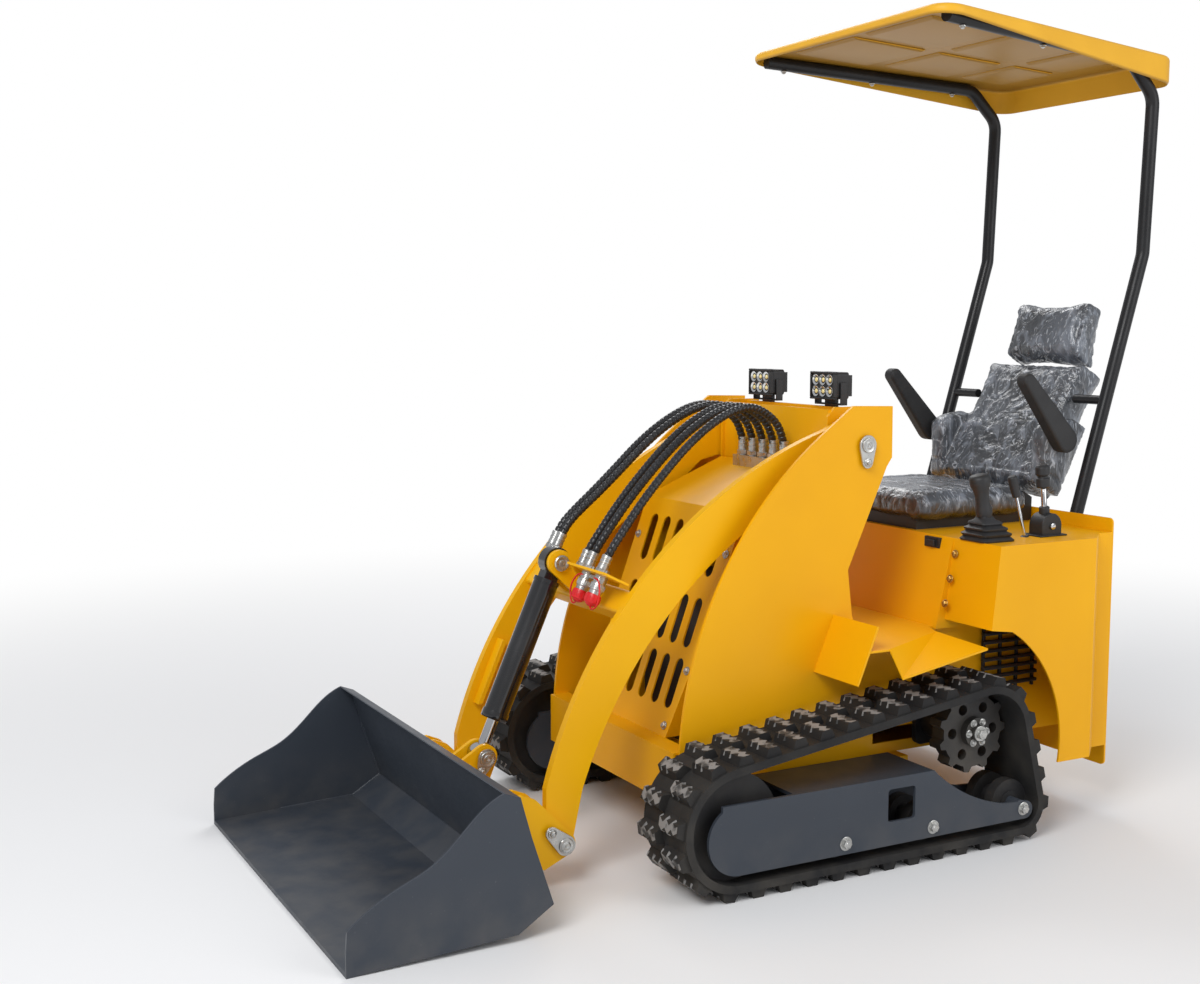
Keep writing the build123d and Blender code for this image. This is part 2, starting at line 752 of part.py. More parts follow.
with BuildPart() as cushion:
    with BuildSketch(level_plane(cushion_bottom)):
        with Locations((0, (cushion_front + cushion_rear) / 2)):
            RectangleRounded(2 * cushion_half, cushion_rear - cushion_front, 40)
    extrude(amount=cushion_top - cushion_bottom)
    fillet(cushion.faces().sort_by(Axis.Z)[-1].edges(), radius=22)
save(cushion, "seat_cushion")

bolster_top = (back_foot[0] + 0.55 * back_line[0], back_foot[1] + 0.55 * back_line[1])
with BuildPart() as backrest:
    slab(side_plane(-back_half), (
        back_foot, back_head, behind(back_head, back_depth), behind(back_foot, back_depth),
    ), 2 * back_half)
    for x in (-bolster_half, back_half):
        with BuildSketch(side_plane(x)):
            with BuildLine():
                Polyline(
                    back_foot, bolster_top, behind(bolster_top, back_depth * 0.7),
                    behind(back_foot, back_depth * 0.7), close=True,
                )
            with Locations(armrest_pivot):
                Circle(40)
            make_hull()
        extrude(amount=bolster_half - back_half)
save(backrest, "seat_back")

with BuildPart() as headrest:
    slab(side_plane(-headrest_half), (
        back_head, headrest_top, (headrest_top[0] + 62, headrest_top[1] - 22), behind(back_head, back_depth),
    ), 2 * headrest_half)
    fillet(headrest.faces().sort_by(Axis.Z)[-1].edges(), radius=18)
save(headrest, "headrest")

for name, sign in sides:
    with BuildPart() as armrest:
        with BuildSketch(outer_face(sign, bolster_half + running_gap, armrest_width)):
            with Locations(armrest_pivot):
                Circle(24)
            with Locations(armrest_tip):
                Circle(17)
            make_hull()
        extrude(amount=armrest_width)
    save(armrest, f"armrest_{name}")

# Joysticks on both fenders and two slim levers beside the left one
for name, sign in sides:
    with BuildPart() as joystick:
        foot_y, top_y = joystick_base
        with BuildSketch(level_plane(deck_height)):
            with Locations((sign * control_half, foot_y)):
                Rectangle(74, 74)
        with BuildSketch(level_plane(deck_height + 52)):
            with Locations((sign * control_half, foot_y - 8)):
                Rectangle(34, 34)
        loft()
        stick = Plane(
            origin=point(sign * control_half, foot_y - 6, deck_height + 40),
            z_dir=(0, top_y - foot_y, joystick_rise),
        )
        with BuildSketch(stick):
            Circle(9)
        extrude(amount=joystick_rise - 80)
        with BuildSketch(stick.offset(70)):
            Circle(17)
        with BuildSketch(stick.offset(joystick_rise - 50)):
            Circle(20)
        loft()
    save(joystick, f"joystick_{name}")

with BuildPart() as levers:
    for foot_y, top_y, rise in lever_lines:
        with BuildSketch(level_plane(deck_height)):
            with Locations((control_half, foot_y)):
                RectangleRounded(40, 56, 10)
        extrude(amount=10)
        stick = Plane(
            origin=point(control_half, foot_y, deck_height + 4),
            z_dir=(0, top_y - foot_y, rise),
        )
        with BuildSketch(stick):
            Circle(6)
        extrude(amount=rise - 30)
        with BuildSketch(stick.offset(rise - 40)):
            Circle(14)
        extrude(amount=36)
        with BuildSketch(level_plane(deck_height)):
            with Locations((control_half, sum(y for y, _, _ in lever_lines) / 2)):
                Rectangle(40, lever_lines[1][0] - lever_lines[0][0])
        extrude(amount=4)
save(levers, "control_levers")

# Loader arms: two curved plates
with BuildPart() as arm:
    with BuildSketch(side_plane(arm_outer - arm_plate)):
        with Locations(bucket_pivot):
            Circle(arm_toe)
        with Locations(arm_pivot):
            Circle(arm_boss)
        with BuildLine():
            toe_y, toe_z = bucket_pivot
            Polyline(arm_rear[2], (toe_y + arm_toe, toe_z + 8), (toe_y - arm_toe, toe_z + 8), arm_front[0])
            ThreePointArc(*arm_front)
            Polyline(arm_front[2], (arm_pivot[0] - 22, arm_pivot[1] + 56), arm_pivot, *arm_armpit, arm_rear[0])
            ThreePointArc(*arm_rear)
        make_face()
        with Locations(arm_pivot, bucket_pivot):
            Circle(pin_radius + running_gap, mode=Mode.SUBTRACT)
    extrude(amount=arm_plate)
    disc(arm_outer, lift_eye, pin_radius, lift_centre - eye_width / 2 + 2 - arm_outer)
save_pair(arm, "loader_arm")

# Tube between the arms, with the tilt cylinder's ears and the plate for the hose couplers
arm_inside = arm_outer - arm_plate
with BuildPart() as arm_bridge:
    tube_y, tube_z, tube_side = cross_tube
    with BuildSketch(side_plane(-arm_inside)):
        with Locations(Location((tube_y, tube_z), 50)):
            RectangleRounded(tube_side, tube_side, 9)
    extrude(amount=2 * arm_inside)
    for x in (-tilt_ear_gap - ear_plate, tilt_ear_gap):
        with BuildSketch(side_plane(x)):
            with Locations(tilt_top):
                Circle(30)
            with Locations(Location((tube_y, tube_z), 50)):
                Rectangle(tube_side - 14, tube_side - 14)
            make_hull()
        extrude(amount=ear_plate)
    disc(-tilt_ear_gap - ear_plate - 6, tilt_top, pin_radius, 2 * (tilt_ear_gap + ear_plate + 6))
    start_x, low_edge, high_edge = coupler_plate
    slab(side_plane(start_x), (
        low_edge, high_edge, (high_edge[0] + 2, high_edge[1] + 5), (low_edge[0] + 2, low_edge[1] + 5),
    ), arm_inside - start_x)
    slab(side_plane(start_x), (
        (low_edge[0] + 8, low_edge[1] - 2), high_edge, (tube_y + 5, tube_z + 10), (tube_y - 20, tube_z),
    ), 6)
save(arm_bridge, "arm_bridge")

# Quick couplers hanging through their plate
plate_slope = math.atan2(high_edge[1] - low_edge[1], high_edge[0] - low_edge[0])
plate_middle = ((low_edge[0] + high_edge[0]) / 2, (low_edge[1] + high_edge[1]) / 2)
with BuildPart() as couplers:
    for x in coupler_spots:
        down = Plane(
            origin=point(x, *plate_middle),
            x_dir=(1, 0, 0),
            z_dir=(0, math.sin(plate_slope), -math.cos(plate_slope)),
        )
        with BuildSketch(down):
            Circle(15)
        extrude(amount=44)
    with BuildSketch(down.offset(4)):
        with Locations((-(coupler_spots[1] - coupler_spots[0]) / 2, 0)):
            Rectangle(coupler_spots[1] - coupler_spots[0], 8)
    extrude(amount=8)
save(couplers, "hose_couplers")


def cylinder_barrel(name, x, start, stop, radius, bore, length, width):
    """Hydraulic barrel from its pin towards the rod's pin, hollow for the rod."""
    along = link_plane(x, start, stop)
    cap, end = radius + barrel_neck, radius + barrel_neck + barrel_cap
    with BuildPart() as barrel:
        disc(x - width / 2, start, radius + 4, width)
        with BuildSketch(along.offset(radius - 4)):
            Rectangle(width, radius * 1.2)
        extrude(amount=barrel_neck + 8)
        with BuildSketch(along.offset(cap)):
            Circle(radius)
        extrude(amount=length - cap)
        with BuildSketch(along.offset(end)):
            Circle(bore + running_gap)
        extrude(amount=length - end, mode=Mode.SUBTRACT)
        disc(x - width / 2, start, pin_radius + running_gap, width, Mode.SUBTRACT)
    save(barrel, name)


def cylinder_rod(name, x, start, stop, radius, inner, eye, width):
    """Piston rod from inside the barrel to the eye at its pin."""
    along = link_plane(x, start, stop)
    reach = math.dist(start, stop)
    with BuildPart() as rod:
        with BuildSketch(along.offset(inner)):
            Circle(radius)
        extrude(amount=reach - inner)
        disc(x - width / 2, stop, eye, width)
    save(rod, name)


cylinder_barrel(
    "tilt_barrel", 0, tilt_top, tilt_eye, tilt_barrel_radius, tilt_rod_radius, tilt_barrel_length, eye_width
)
cylinder_rod("tilt_rod", 0, tilt_top, tilt_eye, tilt_rod_radius, tilt_rod_inner, 26, eye_width)

# Bucket: side plates joined by one bent sheet, open at the front
with BuildPart() as bucket:
    with BuildSketch(side_plane(-bucket_half)):
        with BuildLine():
            Spline(*bucket_front)
            Polyline(bucket_front[-1], *bucket_outside, bucket_front[0])
        make_face()
    extrude(amount=2 * bucket_half)
    slab(side_plane(bucket_wall - bucket_half), (
        *bucket_inside, (300, 345), (-20, 345),
    ), 2 * (bucket_half - bucket_wall), Mode.SUBTRACT)
save(bucket, "bucket")

# Yellow carrier on the bucket's back: plate, four arm ears and two tilt ears
back_low, back_high = bucket_outside[4], bucket_outside[5]
with BuildPart() as carrier:
    run = math.dist(back_low, back_high)
    out = ((back_high[1] - back_low[1]) / run, (back_low[0] - back_high[0]) / run)
    shift = (out[0] * attach_plate, out[1] * attach_plate)
    slab(side_plane(-attach_half), (
        back_low, back_high, (back_high[0] + shift[0], back_high[1] + shift[1]),
        (back_low[0] + shift[0], back_low[1] + shift[1]),
    ), 2 * attach_half)
    gap = 6.0
    arm_ears = (arm_inside - gap - ear_plate, arm_outer + gap)
    ear_starts = [*arm_ears, *(-x - ear_plate for x in arm_ears)]
    for x in ear_starts:
        with BuildSketch(side_plane(x)):
            with Locations(bucket_pivot):
                Circle(ear_round)
            with BuildLine():
                Polyline((438, 74), (531, 47), (510, 208), (477, 222), (393, 210), close=True)
            make_hull()
        extrude(amount=ear_plate)
    for x in (tilt_ear_gap, -tilt_ear_gap - ear_plate):
        with BuildSketch(side_plane(x)):
            with Locations(tilt_eye):
                Circle(30)
            with BuildLine():
                Polyline((438, 74), (470, 90), (393, 210), close=True)
            make_hull()
        extrude(amount=ear_plate)
    for x in (arm_ears[0], -arm_ears[1] - ear_plate - 8):
        disc(x, bucket_pivot, pin_radius, arm_ears[1] + ear_plate + 8 - arm_ears[0])
    disc(tilt_ear_gap, tilt_eye, pin_radius, ear_plate + 6)
    disc(-tilt_ear_gap - ear_plate - 6, tilt_eye, pin_radius, ear_plate + 6)
save(carrier, "bucket_carrier")

# Lift cylinders between each arm and its tower plate
for name, sign in sides:
    cylinder_barrel(
        f"lift_barrel_{name}", sign * lift_centre, lift_base, lift_eye, lift_barrel_radius,
        lift_rod_radius, lift_barrel_length, eye_width - 2,
    )
    cylinder_rod(
        f"lift_rod_{name}", sign * lift_centre, lift_base, lift_eye, lift_rod_radius, lift_rod_inner,
        20, eye_width - 6,
    )

# Hoses arching from the hood's fittings to the tilt cylinder and the couplers
hose_ends = {
    "tilt_hose_1": (-92.0, -72.0, (728, 716)),
    "tilt_hose_2": (-46.0, -46.0, (728, 716)),
    "coupler_hose_1": (0.0, 80.0, (732, 690)),
    "coupler_hose_2": (46.0, 112.0, (732, 690)),
    "coupler_hose_3": (92.0, 176.0, (732, 690)),
}
for name, (fitting_x, end_x, end) in hose_ends.items():
    route = (
        (fitting_x, fitting_station, fitting_top + 1),
        (fitting_x, fitting_station - 1, fitting_top + 30),
        (fitting_x, fitting_station - 30, fitting_top + 88),
        ((fitting_x * 3 + end_x) / 4, 1154, 1050),
        ((fitting_x + end_x) / 2, 1010, 985),
        ((fitting_x + end_x * 3) / 4, 860, 850),
        (end_x, end[0] + 36, end[1] + 58),
        (end_x, end[0] + 12, end[1] + 24),
        (end_x, *end),
    )
    with BuildPart() as hose:
        with BuildLine() as path:
            Spline(*(point(*spot) for spot in route))
        with BuildSketch(Plane(origin=path.line @ 0, z_dir=path.line % 0)):
            Circle(hose_radius)
        sweep(path=path.line)
    save(hose, name)
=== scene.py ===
import json
import math

import bmesh
import bpy
from mathutils import Matrix, Vector, noise


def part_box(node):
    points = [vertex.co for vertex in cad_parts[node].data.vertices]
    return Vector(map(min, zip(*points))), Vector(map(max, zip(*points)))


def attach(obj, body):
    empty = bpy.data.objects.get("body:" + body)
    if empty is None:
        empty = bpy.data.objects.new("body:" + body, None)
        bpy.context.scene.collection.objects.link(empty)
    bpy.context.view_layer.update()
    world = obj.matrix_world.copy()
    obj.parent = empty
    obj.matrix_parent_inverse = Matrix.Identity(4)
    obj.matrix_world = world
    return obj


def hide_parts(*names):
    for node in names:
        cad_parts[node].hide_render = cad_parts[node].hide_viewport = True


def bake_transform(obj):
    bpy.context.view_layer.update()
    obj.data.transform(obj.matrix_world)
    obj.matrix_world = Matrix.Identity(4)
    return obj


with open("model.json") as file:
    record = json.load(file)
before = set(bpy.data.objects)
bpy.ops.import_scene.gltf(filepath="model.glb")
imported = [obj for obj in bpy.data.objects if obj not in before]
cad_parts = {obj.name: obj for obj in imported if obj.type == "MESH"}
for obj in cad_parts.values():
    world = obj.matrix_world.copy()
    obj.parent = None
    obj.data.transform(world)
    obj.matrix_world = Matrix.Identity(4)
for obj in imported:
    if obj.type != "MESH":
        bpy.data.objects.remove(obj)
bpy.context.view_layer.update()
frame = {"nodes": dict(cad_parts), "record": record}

# Compact seated loader on rubber tracks, dressed over its solids. Metres, -Y towards the bucket.
# Places are written as (x, station, height) in millimetres: a station is the distance behind
# the bucket's cutting edge, and a height is above the ground.

HALF_LENGTH = 1172.5
ARM_PIN = (1357, 954)
BUCKET_PIN = (577, 99)
TILT_TOP = (695, 682)
TILT_EYE = (500, 241)
SPROCKET = (1575, 272)
DECK_HEIGHT = 717
ROOF_TOP = 1975
ROOF_FRONT = 1489
ROOF_FALL = 0.0561
RAIL_DROP = 39
PRESSING_DROP = 4.2
SIDES = (("left", 1), ("right", -1))


def spot(x, station, height):
    """Row-frame point from millimetres."""
    return Vector((x, station - HALF_LENGTH, height)) / 1000


def mm(value):
    """Millimetres as metres."""
    return value / 1000


def roof_height(station):
    """Height of the roof's top skin, which falls towards the rear."""
    return ROOF_TOP - ROOF_FALL * (station - ROOF_FRONT)


# Camera and light

CAMERA_SPOT = (3167, -868, 1233)
CAMERA_AZIMUTH = 61.98
CAMERA_DROP = 6.26
FOCAL_PIXELS = 1512
IMAGE_WIDTH = 1200
SENSOR = 36
SKY_COLOUR = (0.93, 0.95, 1.0)
SKY_STRENGTH = 0.50
FLOOR_GREY = 0.86
FLOOR_FADE = (1.2, 5.0)
FLOOR_SIZE = 60


def make_camera():
    """Camera at the photograph's place and angle."""
    data = bpy.data.cameras.new("camera")
    data.sensor_fit = "HORIZONTAL"
    data.sensor_width = SENSOR
    data.lens = FOCAL_PIXELS * SENSOR / IMAGE_WIDTH
    camera = bpy.data.objects.new("camera", data)
    camera.location = spot(*CAMERA_SPOT)
    camera.rotation_euler = (math.radians(90 - CAMERA_DROP), 0, math.radians(CAMERA_AZIMUTH))
    bpy.context.collection.objects.link(camera)
    bpy.context.scene.camera = camera


def area_light(name, place, target, size, power):
    """Round soft light in metres and watts."""
    data = bpy.data.lights.new(name, "AREA")
    data.shape = "DISK"
    data.size = size
    data.energy = power
    light = bpy.data.objects.new(name, data)
    light.location = place
    light.rotation_euler = (Vector(target) - Vector(place)).to_track_quat("-Z", "Y").to_euler()
    bpy.context.collection.objects.link(light)


def make_light():
    """Even studio light, with white behind the object where the camera sees past it."""
    scene = bpy.context.scene
    scene.view_settings.view_transform = "Standard"
    world = bpy.data.worlds.new("studio")
    scene.world = world
    world.use_nodes = True
    nodes, links = world.node_tree.nodes, world.node_tree.links
    nodes.clear()
    path = nodes.new("ShaderNodeLightPath")
    seen = nodes.new("ShaderNodeMath")
    seen.operation = "MAXIMUM"
    links.new(path.outputs["Is Camera Ray"], seen.inputs[0])
    links.new(path.outputs["Is Transmission Ray"], seen.inputs[1])
    glow = nodes.new("ShaderNodeBackground")
    glow.inputs["Color"].default_value = (*SKY_COLOUR, 1)
    glow.inputs["Strength"].default_value = SKY_STRENGTH
    back = nodes.new("ShaderNodeBackground")
    back.inputs["Color"].default_value = (1, 1, 1, 1)
    mix = nodes.new("ShaderNodeMixShader")
    out = nodes.new("ShaderNodeOutputWorld")
    links.new(seen.outputs[0], mix.inputs[0])
    links.new(glow.outputs[0], mix.inputs[1])
    links.new(back.outputs[0], mix.inputs[2])
    links.new(mix.outputs[0], out.inputs[0])
    area_light("key", (2.6, -3.6, 4.2), (0, 0, 0.6), 2.6, 165)
    area_light("fill", (4.2, 2.2, 2.6), (0, 0.3, 0.7), 3.0, 55)
    area_light("rim", (-3.2, 1.5, 3.6), (0, 0, 0.8), 2.4, 60)


def make_floor():
    """Pale floor that fades to white away from the machine and keeps its shadow."""
    material = bpy.data.materials.new("floor_pale")
    material.use_nodes = True
    shader = material.node_tree.nodes["Principled BSDF"]
    shader.inputs["Base Color"].default_value = (FLOOR_GREY, FLOOR_GREY, FLOOR_GREY, 1)
    shader.inputs["Roughness"].default_value = 0.8
    nodes, links = material.node_tree.nodes, material.node_tree.links
    place = nodes.new("ShaderNodeNewGeometry").outputs["Position"]
    reach = nodes.new("ShaderNodeVectorMath")
    reach.operation = "LENGTH"
    links.new(place, reach.inputs[0])
    fade = nodes.new("ShaderNodeMapRange")
    fade.interpolation_type = "SMOOTHSTEP"
    fade.inputs["From Min"].default_value, fade.inputs["From Max"].default_value = FLOOR_FADE
    links.new(reach.outputs["Value"], fade.inputs["Value"])
    pale = nodes.new("ShaderNodeEmission")
    pale.inputs["Color"].default_value = (1, 1, 1, 1)
    mix = nodes.new("ShaderNodeMixShader")
    links.new(fade.outputs["Result"], mix.inputs[0])
    links.new(shader.outputs[0], mix.inputs[1])
    links.new(pale.outputs[0], mix.inputs[2])
    links.new(mix.outputs[0], nodes["Material Output"].inputs["Surface"])
    bpy.ops.mesh.primitive_plane_add(size=FLOOR_SIZE, location=(0, 0, 0))
    floor = bpy.context.object
    floor.name = "floor"
    floor.data.materials.append(material)


# Materials

MATERIALS = {}


class Surface:
    """Node-based material with slow colour drift, fine grain and dust near the ground."""

    def __init__(self, name, colour, roughness, metallic=0.0):
        self.material = bpy.data.materials.new(name)
        self.material.use_nodes = True
        self.tree = self.material.node_tree
        self.shader = self.tree.nodes["Principled BSDF"]
        self.shader.inputs["Roughness"].default_value = roughness
        self.shader.inputs["Metallic"].default_value = metallic
        self.shader.inputs["Base Color"].default_value = (*colour, 1)
        self.place = self.tree.nodes.new("ShaderNodeTexCoord").outputs["Object"]
        self.colour = colour
        self.last = None

    def noise(self, scale, detail=3.0, stretch=(1, 1, 1), warp=0.0):
        """Cloudy value between 0 and 1, stretched along the axes and warped."""
        mapping = self.tree.nodes.new("ShaderNodeMapping")
        mapping.inputs["Scale"].default_value = stretch
        self.tree.links.new(self.place, mapping.inputs["Vector"])
        texture = self.tree.nodes.new("ShaderNodeTexNoise")
        texture.inputs["Scale"].default_value = scale
        texture.inputs["Detail"].default_value = detail
        texture.inputs["Distortion"].default_value = warp
        self.tree.links.new(mapping.outputs[0], texture.inputs["Vector"])
        return texture.outputs["Fac"]

    def ramp(self, value, low, high):
        """The value run from 0 at low to 1 at high."""
        node = self.tree.nodes.new("ShaderNodeMapRange")
        node.inputs["From Min"].default_value = low
        node.inputs["From Max"].default_value = high
        self.tree.links.new(value, node.inputs["Value"])
        return node.outputs["Result"]

    def upward(self, vector):
        """The vector's part along Z."""
        split = self.tree.nodes.new("ShaderNodeSeparateXYZ")
        self.tree.links.new(vector, split.inputs[0])
        return split.outputs["Z"]

    def blend(self, factor, colour, strength):
        """Lays another colour over what is there, where factor says."""
        weight = self.tree.nodes.new("ShaderNodeMath")
        weight.operation = "MULTIPLY"
        weight.inputs[1].default_value = strength
        self.tree.links.new(factor, weight.inputs[0])
        mix = self.tree.nodes.new("ShaderNodeMix")
        mix.data_type = "RGBA"
        self.tree.links.new(weight.outputs[0], mix.inputs["Factor"])
        if self.last is None:
            mix.inputs["A"].default_value = (*self.colour, 1)
        else:
            self.tree.links.new(self.last, mix.inputs["A"])
        mix.inputs["B"].default_value = (*colour, 1)
        self.last = mix.outputs["Result"]
        self.tree.links.new(self.last, self.shader.inputs["Base Color"])
        return self

    def drift(self, colour, scale, strength=0.6):
        """Slow change towards another colour."""
        return self.blend(self.ramp(self.noise(scale), 0.35, 0.65), colour, strength)

    def speckle(self, colour, scale, low, high, strength):
        """Small spots of another colour."""
        return self.blend(self.ramp(self.noise(scale, 4), low, high), colour, strength)

    def dust(self, colour, top, strength):
        """Dust that thins out towards a height in metres."""
        height = self.ramp(self.upward(self.place), top, 0.0)
        patch = self.tree.nodes.new("ShaderNodeMath")
        patch.operation = "MULTIPLY"
        self.tree.links.new(height, patch.inputs[0])
        self.tree.links.new(self.ramp(self.noise(14, 5), 0.35, 0.7), patch.inputs[1])
        return self.blend(patch.outputs[0], colour, strength)

    def gloss(self, low, high, scale=6.0):
        """Roughness that wanders between two values."""
        node = self.tree.nodes.new("ShaderNodeMapRange")
        node.inputs["To Min"].default_value = low
        node.inputs["To Max"].default_value = high
        node.inputs["From Min"].default_value = 0.3
        node.inputs["From Max"].default_value = 0.7
        self.tree.links.new(self.noise(scale, 4), node.inputs["Value"])
        self.tree.links.new(node.outputs["Result"], self.shader.inputs["Roughness"])
        return self

    def grain(self, scale, strength, depth):
        """Fine relief, its depth in metres."""
        bump = self.tree.nodes.new("ShaderNodeBump")
        bump.inputs["Strength"].default_value = strength
        bump.inputs["Distance"].default_value = depth
        self.tree.links.new(self.noise(scale, 2), bump.inputs["Height"])
        self.tree.links.new(bump.outputs[0], self.shader.inputs["Normal"])
        return self

    def shine(self, level):
        """How strongly the surface mirrors light."""
        self.shader.inputs["Specular IOR Level"].default_value = level
        return self

    def below(self, colour, low, high, strength):
        """Another colour below a height in metres, fading out at a second height."""
        return self.blend(self.ramp(self.upward(self.place), high, low), colour, strength)

    def shade_downward_faces(self, colour, strength):
        """Painted shade: another colour on faces that look down."""
        facing = self.tree.nodes.new("ShaderNodeNewGeometry").outputs["Normal"]
        return self.blend(self.ramp(self.upward(facing), -0.2, -0.7), colour, strength)

    def coat(self, weight, roughness):
        """Clear layer over the surface."""
        self.shader.inputs["Coat Weight"].default_value = weight
        self.shader.inputs["Coat Roughness"].default_value = roughness
        return self


BODY_YELLOW = (0.88, 0.43, 0.001)
ARM_YELLOW = (0.92, 0.48, 0.001)
GREY_DUST = (0.30, 0.26, 0.20)


def yellow_paint(name, colour):
    """Satin yellow paint with deeper patches and small scuffs."""
    deep = (colour[0] * 0.86, colour[1] * 0.80, colour[2])
    paint = Surface(name, colour, 0.38).drift(deep, 2.2, 0.55)
    paint.speckle((0.60, 0.28, 0.01), 160, 0.70, 0.78, 0.35)
    return paint.gloss(0.34, 0.50).grain(420, 0.10, 0.0003).coat(0.06, 0.2).shine(0.22)


def make_materials():
    """Each slot's material, and those of the small pieces."""
    grey = Surface("paint_slate", (0.046, 0.055, 0.070), 0.40).drift((0.036, 0.043, 0.056), 2.2, 0.5)
    grey.speckle((0.20, 0.20, 0.20), 120, 0.70, 0.80, 0.30).dust(GREY_DUST, 0.16, 0.14)
    roof = Surface("canopy_mould", (0.82, 0.44, 0.03), 0.42).drift((0.66, 0.33, 0.02), 4)
    rubber = Surface("rubber_track", (0.013, 0.013, 0.014), 0.78).drift((0.026, 0.025, 0.024), 9, 0.7)
    wheel = Surface("paint_wheel", (0.018, 0.018, 0.020), 0.55).drift((0.035, 0.034, 0.033), 8)
    sprocket = Surface("cast_sprocket", (0.030, 0.030, 0.031), 0.5, 0.3).drift((0.055, 0.05, 0.045), 12)
    engine = Surface("engine_block", (0.03, 0.03, 0.03), 0.6).drift((0.06, 0.05, 0.04), 8)
    barrel = Surface("gloss_black", (0.008, 0.008, 0.009), 0.25).drift((0.016, 0.016, 0.017), 7, 0.5)
    chrome = Surface("chrome_rod", (0.62, 0.62, 0.62), 0.12, 1.0).drift((0.50, 0.50, 0.51), 20, 0.5)
    zinc = Surface("zinc_plate", (0.56, 0.56, 0.54), 0.3, 0.9).drift((0.40, 0.40, 0.39), 40)
    guard = Surface("hose_guard", (0.012, 0.012, 0.013), 0.42).drift((0.028, 0.028, 0.030), 30)
    tube = Surface("tube_black", (0.010, 0.010, 0.011), 0.35).drift((0.022, 0.022, 0.024), 5, 0.5)
    pan = Surface("pan_black", (0.012, 0.012, 0.013), 0.5).drift((0.03, 0.03, 0.03), 9, 0.5)
    foam = Surface("armrest_foam", (0.014, 0.014, 0.015), 0.62).drift((0.026, 0.026, 0.027), 14, 0.5)
    control = Surface("moulded_black", (0.014, 0.014, 0.015), 0.5).drift((0.028, 0.028, 0.030), 25, 0.5)
    lamp = Surface("lamp_case", (0.012, 0.012, 0.013), 0.5).drift((0.026, 0.026, 0.026), 25, 0.5)
    worn = Surface("rubber_worn", (0.050, 0.049, 0.048), 0.72)
    worn.speckle((0.27, 0.26, 0.25), 38, 0.40, 0.52, 0.9)
    gold = Surface("zinc_gold", (0.52, 0.34, 0.10), 0.34, 0.85).drift((0.34, 0.22, 0.07), 60)
    red = Surface("cap_red", (0.72, 0.008, 0.012), 0.4).drift((0.50, 0.004, 0.008), 60, 0.5)
    bowl = Surface("reflector", (0.80, 0.80, 0.78), 0.12, 1.0).drift((0.66, 0.66, 0.64), 60, 0.5)
    lens = Surface("led_lens", (0.92, 0.80, 0.38), 0.15).drift((0.82, 0.62, 0.18), 90)
    finished = {
        "frame_blue": grey.gloss(0.32, 0.55).grain(380, 0.14, 0.0003).shine(0.35),
        # painted shade: the roof's faces that look down are darker
        "canopy_yellow": roof.shade_downward_faces((0.26, 0.135, 0.018), 0.85).grain(260, 0.16, 0.0004).shine(0.25),
        "track_rubber": rubber.dust(GREY_DUST, 0.45, 0.12).gloss(0.62, 0.86, 12)
        .grain(500, 0.35, 0.0006).shine(0.3),
        "wheel_black": wheel.dust(GREY_DUST, 0.40, 0.12).grain(300, 0.2, 0.0004).shine(0.3),
        "sprocket_steel": sprocket.dust(GREY_DUST, 0.50, 0.25).grain(260, 0.4, 0.0006),
        "engine_dark": engine.grain(120, 0.4, 0.001),
        "cylinder_black": barrel.gloss(0.16, 0.32).grain(260, 0.10, 0.0003).coat(0.6, 0.08),
        "rod_chrome": chrome.gloss(0.08, 0.18, 30),
        "fitting_steel": zinc.gloss(0.22, 0.42, 60).grain(700, 0.2, 0.0002),
        "hose_rubber": guard.gloss(0.24, 0.40, 50).grain(900, 0.2, 0.0002),
        "canopy_black": tube.gloss(0.28, 0.45).grain(500, 0.15, 0.0003).shine(0.3),
        "seat_pan": pan.grain(400, 0.2, 0.0004),
        "armrest_black": foam.grain(650, 0.45, 0.0005),
        "control_black": control.grain(600, 0.35, 0.0004),
        "lamp_black": lamp.grain(500, 0.25, 0.0004),
        "lug_worn": worn.grain(420, 0.5, 0.0008),
        "zinc_gold": gold,
        "coupler_red": red.grain(500, 0.2, 0.0003),
        "lamp_chrome": bowl,
        "led_amber": lens.coat(1.0, 0.03),
        "seat_vinyl": filmed_vinyl_painted_sheen(),
        "body_yellow": yellow_paint("paint_body", BODY_YELLOW),
        "arm_yellow": yellow_paint("paint_arm", ARM_YELLOW),
    }
    return {slot: surface.material for slot, surface in finished.items()}


def filmed_vinyl_painted_sheen():
    """Dark vinyl under clear film: a pale haze of painted sheen, long soft creases with painted
    highlights along them, and sharp painted glints.
    """
    surface = Surface("vinyl_in_film_painted_sheen", (0.020, 0.022, 0.025), 0.5)
    # painted sheen: broad pale bluish patches standing in for light on the film
    surface.drift((0.10, 0.115, 0.14), 6, 0.80)
    crease_and_sheen = surface.noise(17, 6, (1, 1.5, 0.6), 1.6)
    painted_glint = surface.noise(46, 6, (1, 1.6, 0.45), 2.2)
    # painted highlights: pale streaks along the creases, whose noise also drives the real fold bump
    surface.blend(surface.ramp(crease_and_sheen, 0.50, 0.64), (0.24, 0.27, 0.32), 0.65)
    # painted glints: small sharp pale streaks
    surface.blend(surface.ramp(painted_glint, 0.57, 0.66), (0.60, 0.64, 0.70), 0.55)
    fold = surface.tree.nodes.new("ShaderNodeBump")
    fold.inputs["Strength"].default_value = 0.8
    fold.inputs["Distance"].default_value = 0.012
    surface.tree.links.new(crease_and_sheen, fold.inputs["Height"])
    for socket in ("Normal", "Coat Normal"):
        surface.tree.links.new(fold.outputs[0], surface.shader.inputs[socket])
    surface.below((0.016, 0.014, 0.012), 0.758, 0.790, 0.8)
    return surface.coat(1.0, 0.12)


# Shape helpers


